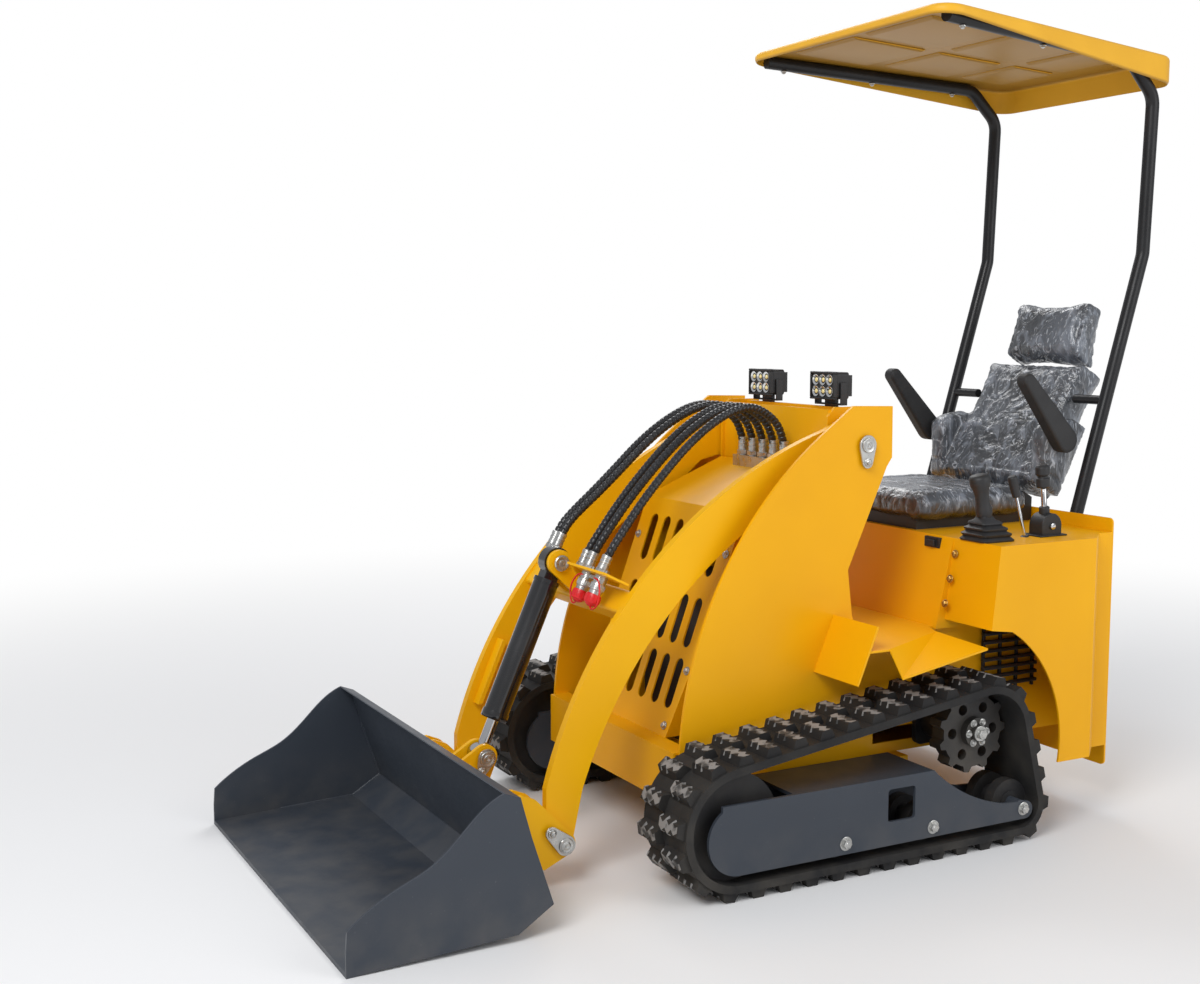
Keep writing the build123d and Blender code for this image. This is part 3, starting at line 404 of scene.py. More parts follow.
def piece(name, shape, slot, body=None, smooth=40):
    """Object from a bmesh, with a slot's material, riding on a body if one is named."""
    mesh = bpy.data.meshes.new(name)
    bmesh.ops.recalc_face_normals(shape, faces=shape.faces)
    shape.to_mesh(mesh)
    shape.free()
    mesh.materials.append(MATERIALS[slot])
    mesh.shade_smooth()
    mesh.set_sharp_from_angle(angle=math.radians(smooth))
    obj = bpy.data.objects.new(name, mesh)
    bpy.context.collection.objects.link(obj)
    if body:
        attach(obj, body)
    return obj


def turn_to(direction):
    """Rotation that takes +Z to a direction."""
    return Vector(direction).to_track_quat("Z", "Y").to_matrix().to_4x4()


def add_skin(mesh, rings):
    """Skins a stack of equal rings of points and closes its ends."""
    stack = [[mesh.verts.new(p) for p in ring] for ring in rings]
    count = len(stack[0])
    for a, b in zip(stack, stack[1:]):
        for k in range(count):
            mesh.faces.new((a[k], a[(k + 1) % count], b[(k + 1) % count], b[k]))
    mesh.faces.new(stack[0][::-1])
    mesh.faces.new(stack[-1])


def add_lathe(mesh, profile, origin, direction, segments=28):
    """Adds a turned shape: profile is (distance along, radius) in millimetres from the origin."""
    place = Matrix.Translation(origin) @ turn_to(direction)
    rings = []
    for along, radius in profile:
        ring = []
        for k in range(segments):
            angle = 2 * math.pi * k / segments
            local = Vector((mm(radius) * math.cos(angle), mm(radius) * math.sin(angle), mm(along)))
            ring.append(place @ local)
        rings.append(ring)
    add_skin(mesh, rings)


def add_side_prism(mesh, points, x0, x1):
    """Adds a prism along X whose outline is (station, height) points."""
    add_skin(mesh, [[spot(x, y, z) for y, z in points] for x in (x0, x1)])


def add_box(mesh, low, high):
    """Adds a box between two corners in millimetres."""
    corners = ((low[1], low[2]), (high[1], low[2]), (high[1], high[2]), (low[1], high[2]))
    add_side_prism(mesh, corners, low[0], high[0])


def bevelled(obj, width, segments=2, angle=35):
    """Rounds the edges that are sharper than an angle, and gives the object back."""
    modifier = obj.modifiers.new("edges", "BEVEL")
    modifier.width = mm(width)
    modifier.segments = segments
    modifier.limit_method = "ANGLE"
    modifier.angle_limit = math.radians(angle)
    return obj


def add_bolt(mesh, origin, direction, across, head, washer):
    """Adds a hexagon bolt head on its washer: width across flats, head height, washer radius."""
    add_lathe(mesh, ((0, washer), (1.6, washer), (2.2, washer - 1)), origin, direction, 20)
    flats = across / 2 / math.cos(math.pi / 6)
    start = Vector(origin) + Vector(direction).normalized() * mm(2.0)
    profile = ((0, flats), (head - 1.2, flats), (head, flats - 1.4))
    add_lathe(mesh, profile, start, direction, 6)
    top = start + Vector(direction).normalized() * mm(head - 0.2)
    add_lathe(mesh, ((0, across * 0.36), (1.4, across * 0.30)), top, direction, 14)


def bolts(name, body, places, direction, across, slot="fitting_steel"):
    """One piece with a bolt head at each (x, station, height)."""
    mesh = bmesh.new()
    for place in places:
        add_bolt(mesh, spot(*place), direction, across, across * 0.45, across * 0.85)
    return piece(name, mesh, slot, body, 30)


def on_circle(centre, radius, angle):
    """(station, height) point of a circle."""
    return centre[0] + radius * math.cos(angle), centre[1] + radius * math.sin(angle)


def tear_outline(big, small, big_radius, small_radius, steps=14):
    """Outline of a teardrop plate round two (station, height) centres."""
    dy, dz = small[0] - big[0], small[1] - big[1]
    heading = math.atan2(dz, dy)
    swing = math.acos((big_radius - small_radius) / math.hypot(dy, dz))
    points = []
    for k in range(steps + 1):
        angle = heading + swing + (2 * math.pi - 2 * swing) * k / steps
        points.append(on_circle(big, big_radius, angle))
    for k in range(steps + 1):
        angle = heading - swing + 2 * swing * k / steps
        points.append(on_circle(small, small_radius, angle))
    return points


def retainer(name, body, x, sign, pin, bolt, big_radius, small_radius):
    """Pin retainer: teardrop plate, the pin's turned end and its locking bolt."""
    mesh = bmesh.new()
    add_side_prism(mesh, tear_outline(pin, bolt, big_radius, small_radius), x, x + sign * 5)
    outward = (sign, 0, 0)
    ring = ((0, 18), (3, 18), (4.5, 16.5), (3.2, 12), (3.2, 9), (4.6, 7.5), (4.6, 4), (3.4, 2.5))
    add_lathe(mesh, ring, spot(x + sign * 4.6, *pin), outward, 32)
    add_bolt(mesh, spot(x + sign * 4.8, *bolt), outward, 13, 6, 10.5)
    return bevelled(piece(name, mesh, "fitting_steel", body), 0.8, 2)


# Hoses: the same routes as the solids, each wrapped in a spiral guard

HOSE_DIAMETER = 20.0
GUARD_PITCH = 13
GUARD_DEPTH = 2.0
GUARD_STEP = 2.6
GUARD_GROOVE = 0.24
GUARD_SEGMENTS = 18
FITTING_STATION = 1284
FITTING_TOP = 922
# Each hose's x on the hood, then its x, station and height on the arms' bridge
HOSE_ENDS = {
    "tilt_hose_1": (-92, -72, 728, 716),
    "tilt_hose_2": (-46, -46, 728, 716),
    "coupler_hose_1": (0, 80, 732, 690),
    "coupler_hose_2": (46, 112, 732, 690),
    "coupler_hose_3": (92, 176, 732, 690),
}
# Distance along and radius of the crimped sleeve on each end
SLEEVE = ((-6, 9), (-6, 12.5), (4, 12.5), (5, 11.6), (8, 11.6), (9, 12.5), (14, 12.5), (15, 11.6),
          (18, 11.6), (19, 12.5), (26, 12.5), (27, 10.8))


def hose_route(start_x, end_x, end_station, end_height):
    """Control places from the hood's fitting over the tower's front to the arms' bridge."""
    return [
        (start_x, FITTING_STATION, FITTING_TOP + 1),
        (start_x, FITTING_STATION - 1, FITTING_TOP + 30),
        (start_x, FITTING_STATION - 30, FITTING_TOP + 88),
        ((start_x * 3 + end_x) / 4, 1154, 1050),
        ((start_x + end_x) / 2, 1010, 985),
        ((start_x + end_x * 3) / 4, 860, 850),
        (end_x, end_station + 36, end_height + 58),
        (end_x, end_station + 12, end_height + 24),
        (end_x, end_station, end_height),
    ]


def nurbs_curve(name, places, resolution):
    """Curve with one NURBS spline, controlled by places in metres."""
    curve = bpy.data.curves.new(name, "CURVE")
    curve.dimensions = "3D"
    curve.resolution_u = resolution
    spline = curve.splines.new("NURBS")
    spline.points.add(len(places) - 1)
    for point, place in zip(spline.points, places):
        point.co = (*place, 1)
    spline.order_u = 3
    spline.use_endpoint_u = True
    return curve


def smooth_line(route):
    """Points along the spline that a route of (x, station, height) controls."""
    curve = nurbs_curve("route", [spot(*place) for place in route], 36)
    holder = bpy.data.objects.new("route", curve)
    line = bpy.data.meshes.new_from_object(holder)
    points = [v.co.copy() for v in line.vertices]
    bpy.data.objects.remove(holder)
    return points


def even_points(points, step):
    """The same line, with points a step apart."""
    found, carry = [points[0]], 0.0
    for a, b in zip(points, points[1:]):
        length = (b - a).length
        while length > 0 and carry + length >= step:
            t = (step - carry) / length
            a = a + (b - a) * t
            found.append(a)
            length = (b - a).length
            carry = 0.0
        carry += length
    if (found[-1] - points[-1]).length > step * 0.3:
        found.append(points[-1])
    return found


def add_ribbed_tube(mesh, points, radius, pitch, depth):
    """Adds a tube with a spiral groove, as a wound guard has."""
    side = Vector((1, 0, 0))
    rings, run = [], 0.0
    for k, place in enumerate(points):
        ahead = (points[min(k + 1, len(points) - 1)] - points[max(k - 1, 0)]).normalized()
        side = (side - ahead * side.dot(ahead)).normalized()
        up = ahead.cross(side)
        if k:
            run += (place - points[k - 1]).length
        ring = []
        for j in range(GUARD_SEGMENTS):
            angle = 2 * math.pi * j / GUARD_SEGMENTS
            wave = (run / pitch + j / GUARD_SEGMENTS) % 1.0
            reach = radius if wave > GUARD_GROOVE else radius - depth
            ring.append(place + (side * math.cos(angle) + up * math.sin(angle)) * reach)
        rings.append(ring)
    add_skin(mesh, rings)


def crimp(name, body, place, direction, nut, lift=0.0):
    """Crimped sleeve on a hose's end, lifted a little along it, and the nut behind."""
    mesh = bmesh.new()
    add_lathe(mesh, SLEEVE, place + Vector(direction) * mm(lift), direction, 24)
    add_lathe(mesh, ((-17, nut - 1), (-16, nut), (-7, nut), (-6, nut - 1)), place, direction, 6)
    piece(name, mesh, "fitting_steel", body, 30)


def make_hoses():
    """The five hoses, each a ribbed guard along its route, with their crimped ends."""
    for name, (start_x, end_x, end_station, end_height) in HOSE_ENDS.items():
        route = hose_route(start_x, end_x, end_station, end_height)
        path = smooth_line(route)
        mesh = bmesh.new()
        line = even_points(path, mm(GUARD_STEP))
        add_ribbed_tube(mesh, line, mm(HOSE_DIAMETER / 2), mm(GUARD_PITCH), mm(GUARD_DEPTH))
        length = sum((b - a).length for a, b in zip(path, path[1:]))
        hose = piece(f"{name}_guard", mesh, "hose_rubber", smooth=28)
        tuple(spot(*route[0]))
        [tuple(p) for p in path]
        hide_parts(name)
        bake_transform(hose)
        crimp(f"{name}_start_crimp", "machine", path[0], (0, 0, 1), 15, 1)
        back = (path[-6] - path[-1]).normalized()
        crimp(f"{name}_end_crimp", "loader_arms", path[-1], back, 14)


# CAD nodes: each gets its slot's material and softened edges

SOFTENED = ("body_yellow", "arm_yellow", "frame_blue", "seat_pan", "fitting_steel", "cylinder_black")
SMOOTH_ANGLE = 32


def dress_nodes():
    """Gives the CAD nodes their materials and soft edges."""
    for row in frame["record"]["subparts"]:
        node = frame["nodes"][row["node"]]
        slot = row["material_slot"]
        node.data.materials.clear()
        node.data.materials.append(MATERIALS[slot])
        node.data.shade_smooth()
        node.data.set_sharp_from_angle(angle=math.radians(SMOOTH_ANGLE))
        if slot in SOFTENED:
            bevelled(node, 1.2, 2, 40)


# Seat: three pads swollen by cloth pressure under their film

PAD_VOXEL = 6
PAD_PRESSURE = 4
PAD_FRAMES = 20
PAD_SPARE = 6.0
SEAM_HALF = 9
SEAM_DEPTH = 5.0
RIDGE_SCALE = 26
RIDGE_WARP = 3
WARP_SCALE = 9
WRINKLE_SCALE = 60


def pad(name, node, cap, shrink):
    """Swells a copy of a soft solid by cloth simulation and stands it in the solid's place.

    The copy first shrinks on every side, and no point then moves further than the cap.
    """
    source = frame["nodes"][node]
    mesh = source.data.copy()
    mesh.materials.clear()
    obj = bpy.data.objects.new(name, mesh)
    bpy.context.collection.objects.link(obj)
    low, high = (Vector(c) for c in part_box(node))
    middle = (low + high) / 2
    scale = Vector(1 - 2 * mm(shrink) / max(span, 0.05) for span in high - low)
    for vertex in mesh.vertices:
        vertex.co = middle + Vector(o * s for o, s in zip(vertex.co - middle, scale))
    remesh = obj.modifiers.new("remesh", "REMESH")
    remesh.mode = "VOXEL"
    remesh.voxel_size = mm(PAD_VOXEL)
    soften = obj.modifiers.new("soften", "SMOOTH")
    soften.factor = 0.5
    soften.iterations = 12
    apply_modifiers(obj)
    start = [v.co.copy() for v in obj.data.vertices]
    cloth = obj.modifiers.new("cloth", "CLOTH")
    cloth.settings.use_pressure = True
    cloth.settings.uniform_pressure_force = PAD_PRESSURE
    cloth.settings.effector_weights.gravity = 0
    for number in range(1, PAD_FRAMES + 1):
        bpy.context.scene.frame_set(number)
    apply_modifiers(obj)
    for vertex, origin in zip(obj.data.vertices, start):
        move = vertex.co - origin
        if move.length > mm(cap):
            vertex.co = origin + move.normalized() * mm(cap)
    bpy.context.scene.frame_set(1)
    obj.data.materials.append(MATERIALS["seat_vinyl"])
    obj.data.shade_smooth()
    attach(obj, "machine")
    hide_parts(node)
    return obj


def apply_modifiers(obj):
    """Makes the modified mesh the object's own."""
    graph = bpy.context.evaluated_depsgraph_get()
    final = bpy.data.meshes.new_from_object(obj.evaluated_get(graph))
    obj.modifiers.clear()
    obj.data = final


def keep_inside(obj, node):
    """Keeps a pad's points within its solid's box and a little more."""
    low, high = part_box(node)
    spare = mm(PAD_SPARE)
    for vertex in obj.data.vertices:
        for axis in range(3):
            vertex.co[axis] = min(max(vertex.co[axis], low[axis] - spare), high[axis] + spare)


def crumple(obj, depth, seams):
    """Presses the sewn channels in and wrinkles the film: each seam gives the distance to it."""
    obj.data.update()
    normals = [v.normal.copy() for v in obj.data.vertices]
    for vertex, normal in zip(obj.data.vertices, normals):
        warp = Vector((noise.noise(vertex.co * WARP_SCALE) * RIDGE_WARP, 0, 0))
        ridge = 1 - abs(noise.noise(vertex.co * RIDGE_SCALE + warp)) * 2
        lift = depth * 0.6 * max(ridge - 0.55, 0) / 0.45
        lift += depth * 0.5 * noise.noise(vertex.co * WRINKLE_SCALE)
        groove = min((abs(seam(vertex.co)) for seam in seams), default=1.0)
        lift -= SEAM_DEPTH * max(0.0, 1 - groove / mm(SEAM_HALF)) ** 2
        vertex.co += normal * mm(lift)
    obj.data.update()


def along_back(co):
    """Distance up the backrest from its foot, in metres."""
    foot = spot(0, 2005, 800)
    line = Vector((0, 200, 346)).normalized()
    return (co - foot).dot(line)


def make_seat():
    """Cushion, backrest and headrest, each a swollen pad with its seams."""
    cushion = pad("cushion_pad", "seat_cushion", 12, 6)
    crumple(cushion, 1.8, (lambda co: co.y - spot(0, 1740, 0).y, lambda co: abs(co.x) - mm(150)))
    keep_inside(cushion, "seat_cushion")
    back = pad("backrest_pad", "seat_back", 12, 8)
    crumple(back, 2.2, (lambda co: abs(co.x) - mm(112), lambda co: along_back(co) - mm(52)))
    keep_inside(back, "seat_back")
    head = pad("headrest_pad", "headrest", 14, 8)
    crumple(head, 2.0, (lambda co: abs(co.x) - mm(120),))
    keep_inside(head, "headrest")


# Front work: pins, couplers, brackets


def make_pins():
    """Pin retainers of the arms, bucket and tilt cylinder."""
    for name, sign in SIDES:
        plates = (
            (f"bucket_pin_plate_{name}", "bucket", 289.2, BUCKET_PIN, (543, 131), 23, 15),
            (f"arm_pin_plate_{name}", "machine", 326.2, ARM_PIN, (1357, 914), 24, 15),
            (f"tilt_eye_plate_{name}", "bucket", 38.2, TILT_EYE, (487, 212), 22, 12),
        )
        for plate, body, x, pin, bolt, big_radius, small_radius in plates:
            retainer(plate, body, sign * x, sign, pin, bolt, big_radius, small_radius)
        mesh = bmesh.new()
        cap = ((0, 19), (4, 19), (6, 17), (6, 13), (4.5, 11), (4.5, 8), (6, 7), (6, 3))
        add_lathe(mesh, cap, spot(sign * 38.2, *TILT_TOP), (sign, 0, 0), 32)
        piece(f"tilt_top_cap_{name}", mesh, "fitting_steel", "loader_arms")


def make_tilt_fittings():
    """Gland, weld ring and hose ports along the tilt cylinder's barrel."""
    top = spot(0, *TILT_TOP)
    axis = (spot(0, *TILT_EYE) - top).normalized()
    collars = (
        ("tilt_gland", 381, ((-6, 29), (-6, 31.6), (2, 32.4), (12, 32.4), (14, 31), (14, 15))),
        ("tilt_weld_ring", 46, ((0, 29), (0, 31.5), (10, 31.5), (11, 29))),
    )
    for name, along, profile in collars:
        mesh = bmesh.new()
        add_lathe(mesh, profile, top + axis * mm(along), axis, 40)
        piece(name, mesh, "cylinder_black", "tilt_barrel")
    ports = bmesh.new()
    out = (-1, 0, 0)
    for along, reach in ((78, 46), (352, 40)):
        base = top + axis * mm(along)
        stub = ((24, 11), (34, 11), (35, 9), (reach, 9), (reach + 1, 7))
        add_lathe(ports, stub, base, out, 20)
        add_lathe(ports, ((34, 13), (35, 14), (41, 14), (42, 13)), base, out, 6)
    piece("tilt_ports", ports, "fitting_steel", "tilt_barrel")


COUPLER_X = (112, 176)
PLATE_MIDDLE = (729, 668.5)


def add_knurls(mesh, base, direction, count, ring_radius, along, length, radius):
    """Adds a ring of slim ribs round an axis."""
    place = Matrix.Translation(base) @ turn_to(direction)
    for k in range(count):
        angle = 2 * math.pi * k / count
        local = (mm(ring_radius) * math.cos(angle), mm(ring_radius) * math.sin(angle), mm(along))
        add_lathe(mesh, ((0, radius), (length, radius)), place @ Vector(local), direction, 6)


def make_couplers():
    """Two quick couplers with red caps on their straps."""
    down = Vector((0, -31, -62)).normalized()
    for number, x in enumerate(COUPLER_X, 1):
        base = spot(x, *PLATE_MIDDLE)
        mesh = bmesh.new()
        body = ((1, 12), (2, 15.8), (14, 15.8), (15, 14), (17, 14), (18, 16.6), (19, 17), (34, 17),
                (35, 16.4), (36, 15), (44, 15), (45, 13))
        add_lathe(mesh, body, base, down, 32)
        add_knurls(mesh, base, down, 26, 17, 21, 11, 0.9)
        add_lathe(mesh, ((6, 12), (7, 14), (15, 14), (16, 12)), base, -down, 6)
        piece(f"coupler_body_{number}", mesh, "fitting_steel", "loader_arms", 30)
        mesh = bmesh.new()
        cap = ((44, 14), (45, 17.5), (50, 18.5), (62, 18.5), (66, 17), (68, 13), (70, 12), (74, 5))
        add_lathe(mesh, cap, base, down, 32)
        add_knurls(mesh, base, down, 14, 18.2, 50, 12, 1.3)
        piece(f"coupler_cap_{number}", mesh, "coupler_red", "loader_arms", 30)
        strap_curve(f"cap_strap_{number}", base, down, 1 if number == 2 else -1)


def strap_curve(name, base, down, side):
    """Thin red strap looping from the cap back to the coupler's neck."""
    across = Vector((side, 0, 0))
    front = Vector((0, -0.9, 0.42))
    turns = ((70, 0, 0), (82, 10, 0), (70, 34, 0), (42, 40, 10), (18, 26, 14), (10, 10, 16), (10, -6, 14))
    route = [base + down * mm(a) + across * mm(b) + front * mm(c) for a, b, c in turns]
    curve = nurbs_curve(name, route, 16)
    curve.bevel_depth = mm(2.0)
    curve.bevel_resolution = 2
    curve.materials.append(MATERIALS["coupler_red"])
    obj = bpy.data.objects.new(name, curve)
    bpy.context.collection.objects.link(obj)
    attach(obj, "loader_arms")


# Body: bolts, lamps, controls, guards


def panel_spot(x, height):
    """Place on the hood's sloping front panel."""
    return (x, 788 + 0.3628 * height, height)


def make_bolts():
    """Bolt heads of the hood, track frames, hubs, fender seams, roof rails and rear panel."""
    slope = Vector((0, -521, 189)).normalized()
    seam = Vector((0, -217, 50)).normalized()
    rows = ((172, 300), (196, 430), (208, 700))
    hood = [panel_spot(sign * x, height) for sign in (1, -1) for x, height in rows]
    bolts("hood_bolts", "machine", hood, slope, 12)
    for name, sign in SIDES:
        outward = (sign, 0, 0)
        places = [(sign * 535, y, z) for y, z in ((1155, 83), (1405, 82), (1682, 83))]
        bolts(f"frame_bolts_{name}", "machine", places, outward, 19)
        hub = [(sign * 488, *on_circle(SPROCKET, 27, math.radians(a))) for a in range(0, 360, 60)]
        bolts(f"hub_bolts_{name}", "machine", hub, outward, 11)
        bolts(f"hub_nut_{name}", "machine", [(sign * 498, *SPROCKET)], outward, 22)
        fender = [(sign * 350, 1572 + 0.2304 * (z - 500), z) for z in (560, 620, 680)]
        bolts(f"seam_bolts_{name}", "machine", fender, seam, 12, "zinc_gold")
        rail = []
        for share in (0.1, 0.5, 0.92):
            station = 2200 - 670 * share
            rail.append((sign * (297 + 71 * share), station, roof_height(station) - RAIL_DROP))
        bolts(f"rail_bolts_{name}", "machine", rail, (0, 0, -1), 10)
        back = [(sign * x, 2050, z) for x in (395, 250) for z in (170, 520, 700)]
        bolts(f"panel_bolts_{name}", "machine", back, (0, 1, 0), 12)


LAMP_X = 137
LAMP_FRONT = 1366
LAMP_MIDDLE = 1088


def make_lamps():
    """Fins, rim, six bowls with their lenses and the bracket of each work lamp."""
    for name, sign in SIDES:
        centre_x = sign * LAMP_X
        case = bmesh.new()
        for k in range(9):
            x = centre_x - 44 + k * 11
            add_box(case, (x - 1.6, 1404, 1062), (x + 1.6, 1420, 1114))
        bevelled(piece(f"lamp_fins_{name}", case, "lamp_black", "machine"), 0.6, 1)
        rim = bmesh.new()
        add_box(rim, (centre_x - 49, LAMP_FRONT - 5, 1117), (centre_x + 49, LAMP_FRONT + 8, 1122))
        add_box(rim, (centre_x - 49, LAMP_FRONT - 5, 1054), (centre_x + 49, LAMP_FRONT + 8, 1059))
        add_box(rim, (centre_x - 49, LAMP_FRONT - 5, 1059), (centre_x - 44.5, LAMP_FRONT + 8, 1117))
        add_box(rim, (centre_x + 44.5, LAMP_FRONT - 5, 1059), (centre_x + 49, LAMP_FRONT + 8, 1117))
        bevelled(piece(f"lamp_rim_{name}", rim, "lamp_black", "machine"), 1.5, 2)
        bowls, lenses, forward = bmesh.new(), bmesh.new(), (0, -1, 0)
        bowl = ((-2, 13), (2.6, 13), (2.6, 12), (-1.4, 7), (-1.4, 5))
        lens = ((-1.4, 6), (0.6, 5.6), (2.0, 4), (2.6, 1.6))
        for column in (-1, 0, 1):
            for row in (-1, 1):
                place = spot(centre_x + column * 28, LAMP_FRONT, LAMP_MIDDLE + row * 14)
                add_lathe(bowls, bowl, place, forward, 24)
                add_lathe(lenses, lens, place, forward, 20)
        piece(f"lamp_bowls_{name}", bowls, "lamp_chrome", "machine")
        piece(f"lamp_leds_{name}", lenses, "led_amber", "machine")
        bracket = bmesh.new()
        add_box(bracket, (centre_x - 54, 1380, 1044), (centre_x - 50, 1400, 1096))
        add_box(bracket, (centre_x + 50, 1380, 1044), (centre_x + 54, 1400, 1096))
        add_box(bracket, (centre_x - 54, 1380, 1040.5), (centre_x + 54, 1400, 1044.5))
        bevelled(piece(f"lamp_bracket_{name}", bracket, "lamp_black", "machine"), 1.0, 2)


CONTROL_X = 400
QUADRANT = (1856, 742)


def square_ring(centre, half, steps=4):
    """Level rounded square of points, half its width given in millimetres."""
    points = []
    radius = half * 0.35
    for quarter in range(4):
        middle = math.radians(45 + 90 * quarter)
        corner_x = math.copysign(half - radius, math.cos(middle))
        corner_y = math.copysign(half - radius, math.sin(middle))
        for k in range(steps + 1):
            angle = math.radians(90 * quarter + 90 * k / steps)
            place = (corner_x + radius * math.cos(angle), corner_y + radius * math.sin(angle))
            points.append(centre + Vector((mm(place[0]), mm(place[1]), 0)))
    return points


def make_joysticks():
    """Folded boot and waisted grip of each joystick."""
    lean = Vector((0, -0.16, 1))
    axis = Vector((0, -34, 163)).normalized()
    folds = ((0, 50), (4, 51), (8, 47), (11, 44), (14, 47), (18, 48), (22, 41), (25, 38), (28, 41),
             (32, 41), (36, 33), (39, 30), (42, 33), (46, 31), (52, 20), (62, 14))
    shape = ((0, 17), (10, 20), (22, 20), (34, 17), (54, 17), (70, 20), (84, 25), (98, 26), (105, 22),
             (108, 12))
    for name, sign in SIDES:
        mesh = bmesh.new()
        base = spot(sign * CONTROL_X, 1668, DECK_HEIGHT)
        add_skin(mesh, [square_ring(base + lean * mm(rise), half) for rise, half in folds])
        boot = piece(f"joystick_boot_{name}", mesh, "control_black", "machine", 50)
        grip = bmesh.new()
        add_lathe(grip, shape, base + lean * mm(56), axis, 28)
        stick = piece(f"joystick_grip_{name}", grip, "control_black", "machine", 50)
        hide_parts(f"joystick_{name}")
        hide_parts(f"joystick_{name}")


def make_levers():
    """Slim throttle rod with a grip, and a hand lever on its round quadrant."""
    rods, black = bmesh.new(), bmesh.new()
    foot = spot(CONTROL_X, 1790, DECK_HEIGHT)
    axis = (spot(CONTROL_X, 1742, 871) - foot).normalized()
    add_lathe(rods, ((0, 4), (108, 4), (109, 3)), foot, axis, 14)
    add_lathe(black, ((0, 11), (3, 11), (4, 6)), foot, axis, 20)
    grip = ((0, 6), (3, 10), (40, 12), (52, 12), (56, 9))
    add_lathe(black, grip, foot + axis * mm(104), axis, 24)
    foot = spot(CONTROL_X, *QUADRANT)
    axis = (spot(CONTROL_X, 1840, 899) - foot).normalized()
    add_lathe(rods, ((30, 7), (96, 7), (97, 6)), foot, axis, 18)
    add_lathe(black, ((10, 13), (46, 13), (48, 9)), foot, axis, 20)
    knob = ((94, 12), (97, 17), (118, 17), (120, 13), (124, 13), (128, 18), (146, 18), (152, 12))
    add_lathe(black, knob, foot, axis, 24)
    pivot = spot(CONTROL_X - 0.5, *QUADRANT)
    add_lathe(rods, ((24, 6), (25, 8), (29, 8), (30, 6)), pivot, (1, 0, 0), 16)
    arch = [on_circle(QUADRANT, 32, math.radians(a)) for a in range(0, 181, 12)]
    add_side_prism(black, [(1888, 718), *arch, (1824, 718)], 378, 424)
    add_box(black, (368, 1812, DECK_HEIGHT), (432, 1900, 721))
    levers = bevelled(piece("lever_set", black, "control_black", "machine", 45), 1.5, 2)
    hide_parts("control_levers")
    rod_set = piece("lever_rods", rods, "rod_chrome", "machine", 45)
    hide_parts("control_levers")


def make_fan_guards():
    """Crossed bars of the cooling guard behind each fender's arch."""
    for name, sign in SIDES:
        mesh = bmesh.new()
        for k in range(7):
            height = 330 + k * 22
            add_box(mesh, (sign * 327, 1725, height), (sign * 339, 1905, height + 9))
        for k in range(4):
            station = 1730 + k * 55
            add_box(mesh, (sign * 322, station, 318), (sign * 330, station + 8, 480))
        bevelled(piece(f"fan_guard_{name}", mesh, "control_black", "machine"), 2.0, 2)


def make_small_brackets():
    """Seat hinge, hose guide on the right arm and the seat's slide rails."""
    hinge = bmesh.new()
    add_box(hinge, (236, 1612, 686), (292, 1622, 712))
    add_box(hinge, (248, 1604, 690), (280, 1614, 706))
    bevelled(piece("seat_hinge", hinge, "seat_pan", "machine"), 1.5, 2)
    guide = bmesh.new()
    add_side_prism(guide, ((588, 300), (600, 300), (668, 452), (656, 458)), -243, -212)
    bevelled(piece("hose_guide", guide, "arm_yellow", "loader_arms"), 1.0, 2)
    for name, sign in SIDES:
        slide = bmesh.new()
        add_box(slide, (sign * 150, 1640, 738), (sign * 172, 1990, 747))
        add_box(slide, (sign * 154, 1650, DECK_HEIGHT), (sign * 168, 1980, 739))
        bevelled(piece(f"seat_slide_{name}", slide, "seat_pan", "machine"), 1.2, 2)


def make_armrests():
    """Rounded foam sleeves over the armrests."""
    pivot, tip = (2044, 938), (1908, 1094)
    outline = tear_outline(pivot, tip, 33, 19, 18)
    for name, sign in SIDES:
        mesh = bmesh.new()
        low, high = sorted((sign * 245.6, sign * 285))
        add_side_prism(mesh, outline, low, high)
        sleeve = piece(f"armrest_sleeve_{name}", mesh, "armrest_black", f"armrest_{name}", 60)
        bevelled(sleeve, 9, 5, 50)
        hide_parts(f"armrest_{name}")


def make_roof_ribs():
    """Shallow pressed panels on the roof's underside."""
    mesh = bmesh.new()
    for low_y, high_y in ((1560, 1800), (1840, 2060), (2100, 2250)):
        for sign in (1, -1):
            half = 411 - 0.104 * (high_y - ROOF_FRONT) - 110
            outer, inner = [], []
            for y, x in ((low_y, 20), (high_y, 20), (high_y, half), (low_y, half + 12)):
                height = roof_height(y) - PRESSING_DROP
                inset = 14 if y == low_y else -14
                outer.append(spot(sign * x, y, height))
                inner.append(spot(sign * (x * 0.94 + 6), y + inset, height - 7))
            add_skin(mesh, [outer, inner])
    bevelled(piece("roof_pressings", mesh, "canopy_yellow", "machine"), 5, 3, 20)


# Each wheel's station, height and radius inside the belt
WHEELS = ((873, 158, 120), (1672, 92, 54), (1575, 272, 104))
CARCASS = 18
LUG_HEIGHT = 20
LUG_PITCH = 72
LUG_ROWS = ((366, 444), (456, 534))
CLAW = ((-1.0, -15), (-0.62, -5), (-0.30, -17), (0.05, -4), (0.42, -16), (0.72, -6), (1.0, -12),
        (1.0, 4), (0.66, 12), (0.34, 2), (0.0, 16), (-0.36, 5), (-0.66, 15), (-1.0, 6))


def beside(place, along, out, ahead, rise):
    """(station, height) point ahead of a place on the belt and risen off it."""
    return tuple(p + a * ahead + o * rise for p, a, o in zip(place, along, out))


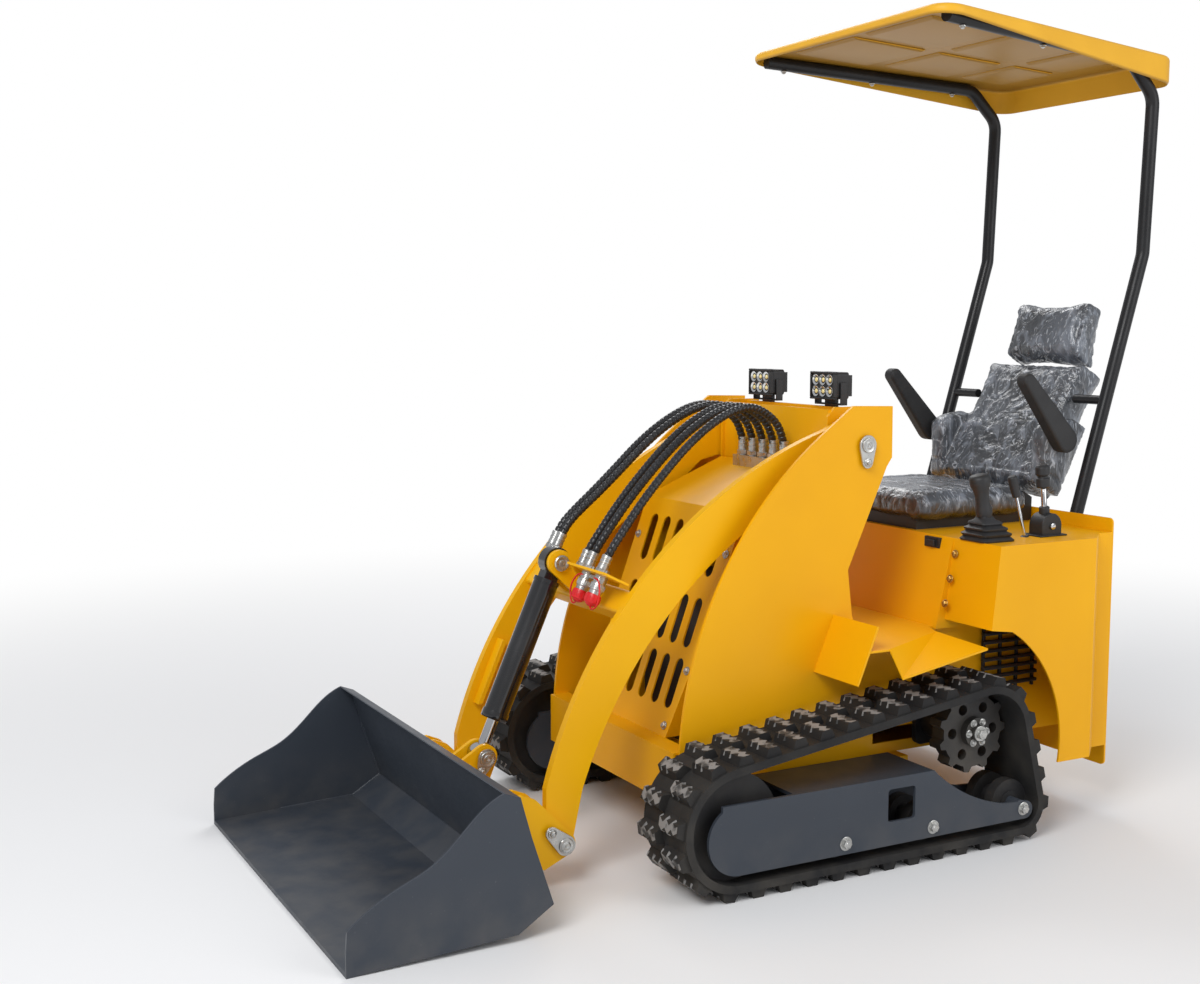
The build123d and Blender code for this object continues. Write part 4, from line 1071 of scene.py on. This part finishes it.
def make_guide_lugs():
    """Inner guide lugs of each track, along its straight lower and upper runs."""
    runs = (((873, 38), (1672, 38), (0, 1)), ((839, 273), (1525, 363), (0.139, -0.990)))
    for name, sign in SIDES:
        mesh = bmesh.new()
        low, high = sorted((sign * 444, sign * 456))
        for start, stop, inward in runs:
            length = math.dist(start, stop)
            along = ((stop[0] - start[0]) / length, (stop[1] - start[1]) / length)
            for k in range(1, int(length / LUG_PITCH)):
                place = beside(start, along, inward, k * LUG_PITCH, 0)
                shape = ((-14, 0), (14, 0), (8, 20), (-8, 20))
                points = [beside(place, along, inward, ahead, rise) for ahead, rise in shape]
                add_side_prism(mesh, points, low, high)
        bevelled(piece(f"guide_lugs_{name}", mesh, "track_rubber", "machine"), 2, 2)


def arc_run(centre, radius, start, stop):
    """Length of an arc, and a function from a share of it to station, height and outward angle."""
    def at(share):
        angle = start + (stop - start) * share
        return *on_circle(centre, radius, angle), angle
    return radius * (stop - start), at


def straight_run(a, b, angle):
    """The same for a straight between two points."""
    def at(share):
        return a[0] + (b[0] - a[0]) * share, a[1] + (b[1] - a[1]) * share, angle
    return math.dist(a, b), at


def belt_places(grow, shift):
    """Stations, heights and outward angles a pitch apart on the belt, grown beyond its wheels."""
    turns = []
    for (y, z, r), (y2, z2, r2) in zip(WHEELS, WHEELS[1:] + WHEELS[:1]):
        swing = math.asin((r2 - r) / math.hypot(y2 - y, z2 - z))
        turns.append(math.atan2(z2 - z, y2 - y) - math.pi / 2 - swing)
    runs = []
    for k, (y, z, r) in enumerate(WHEELS):
        start, stop = turns[k - 1], turns[k]
        while stop < start:
            stop += 2 * math.pi
        y2, z2, r2 = WHEELS[(k + 1) % len(WHEELS)]
        leave = on_circle((y, z), r + grow, stop)
        reach = on_circle((y2, z2), r2 + grow, stop)
        runs.append(arc_run((y, z), r + grow, start, stop))
        runs.append(straight_run(leave, reach, stop))
    total = sum(length for length, _ in runs)
    count = round(total / LUG_PITCH)
    for number in range(count):
        along = (number + shift) * total / count
        for length, at in runs:
            if along <= length:
                break
            along -= length
        yield at(along / length)


def make_lug_claws():
    """Clawed, scuffed crowns on the track's lugs."""
    crown, foot = (0.97, 0.92, LUG_HEIGHT + 0.3), (1.0, 1.25, LUG_HEIGHT - 9)
    for name, sign in SIDES:
        mesh = bmesh.new()
        for row, (near, far) in enumerate(LUG_ROWS):
            middle, half = sign * (near + far) / 2, (far - near) / 2 - 1
            for y, z, angle in belt_places(CARCASS, row / 2):
                out = (math.cos(angle), math.sin(angle))
                along = (-out[1], out[0])
                add_skin(mesh, [
                    [spot(middle + across * wide * half, *beside((y, z), along, out, ahead * deep, rise))
                     for across, ahead in CLAW]
                    for wide, deep, rise in (foot, crown)
                ])
        piece(f"lug_claws_{name}", mesh, "lug_worn", "machine", 25)


def make_welds():
    """Thin weld beads along the outside of the bucket's cheeks."""
    mesh = bmesh.new()
    for sign in (1, -1):
        for start, stop in (((168, 17), (358, 24)), ((358, 24), (433, 70)), ((433, 70), (385, 213))):
            base, end = (spot(sign * 503.6, *place) for place in (start, stop))
            reach = (end - base).length * 1000
            bead = [(reach * k / 40, 2.6 + 0.7 * (k % 2)) for k in range(41)]
            add_lathe(mesh, bead, base, end - base, 8)
    piece("bucket_welds", mesh, "frame_blue", "bucket", 60)


make_camera()
make_light()
make_floor()
MATERIALS.update(make_materials())
make_hoses()
dress_nodes()
make_seat()
make_pins()
make_tilt_fittings()
make_couplers()
make_bolts()
make_lamps()
make_joysticks()
make_levers()
make_fan_guards()
make_small_brackets()
make_armrests()
make_roof_ribs()
make_guide_lugs()
make_lug_claws()
make_welds()
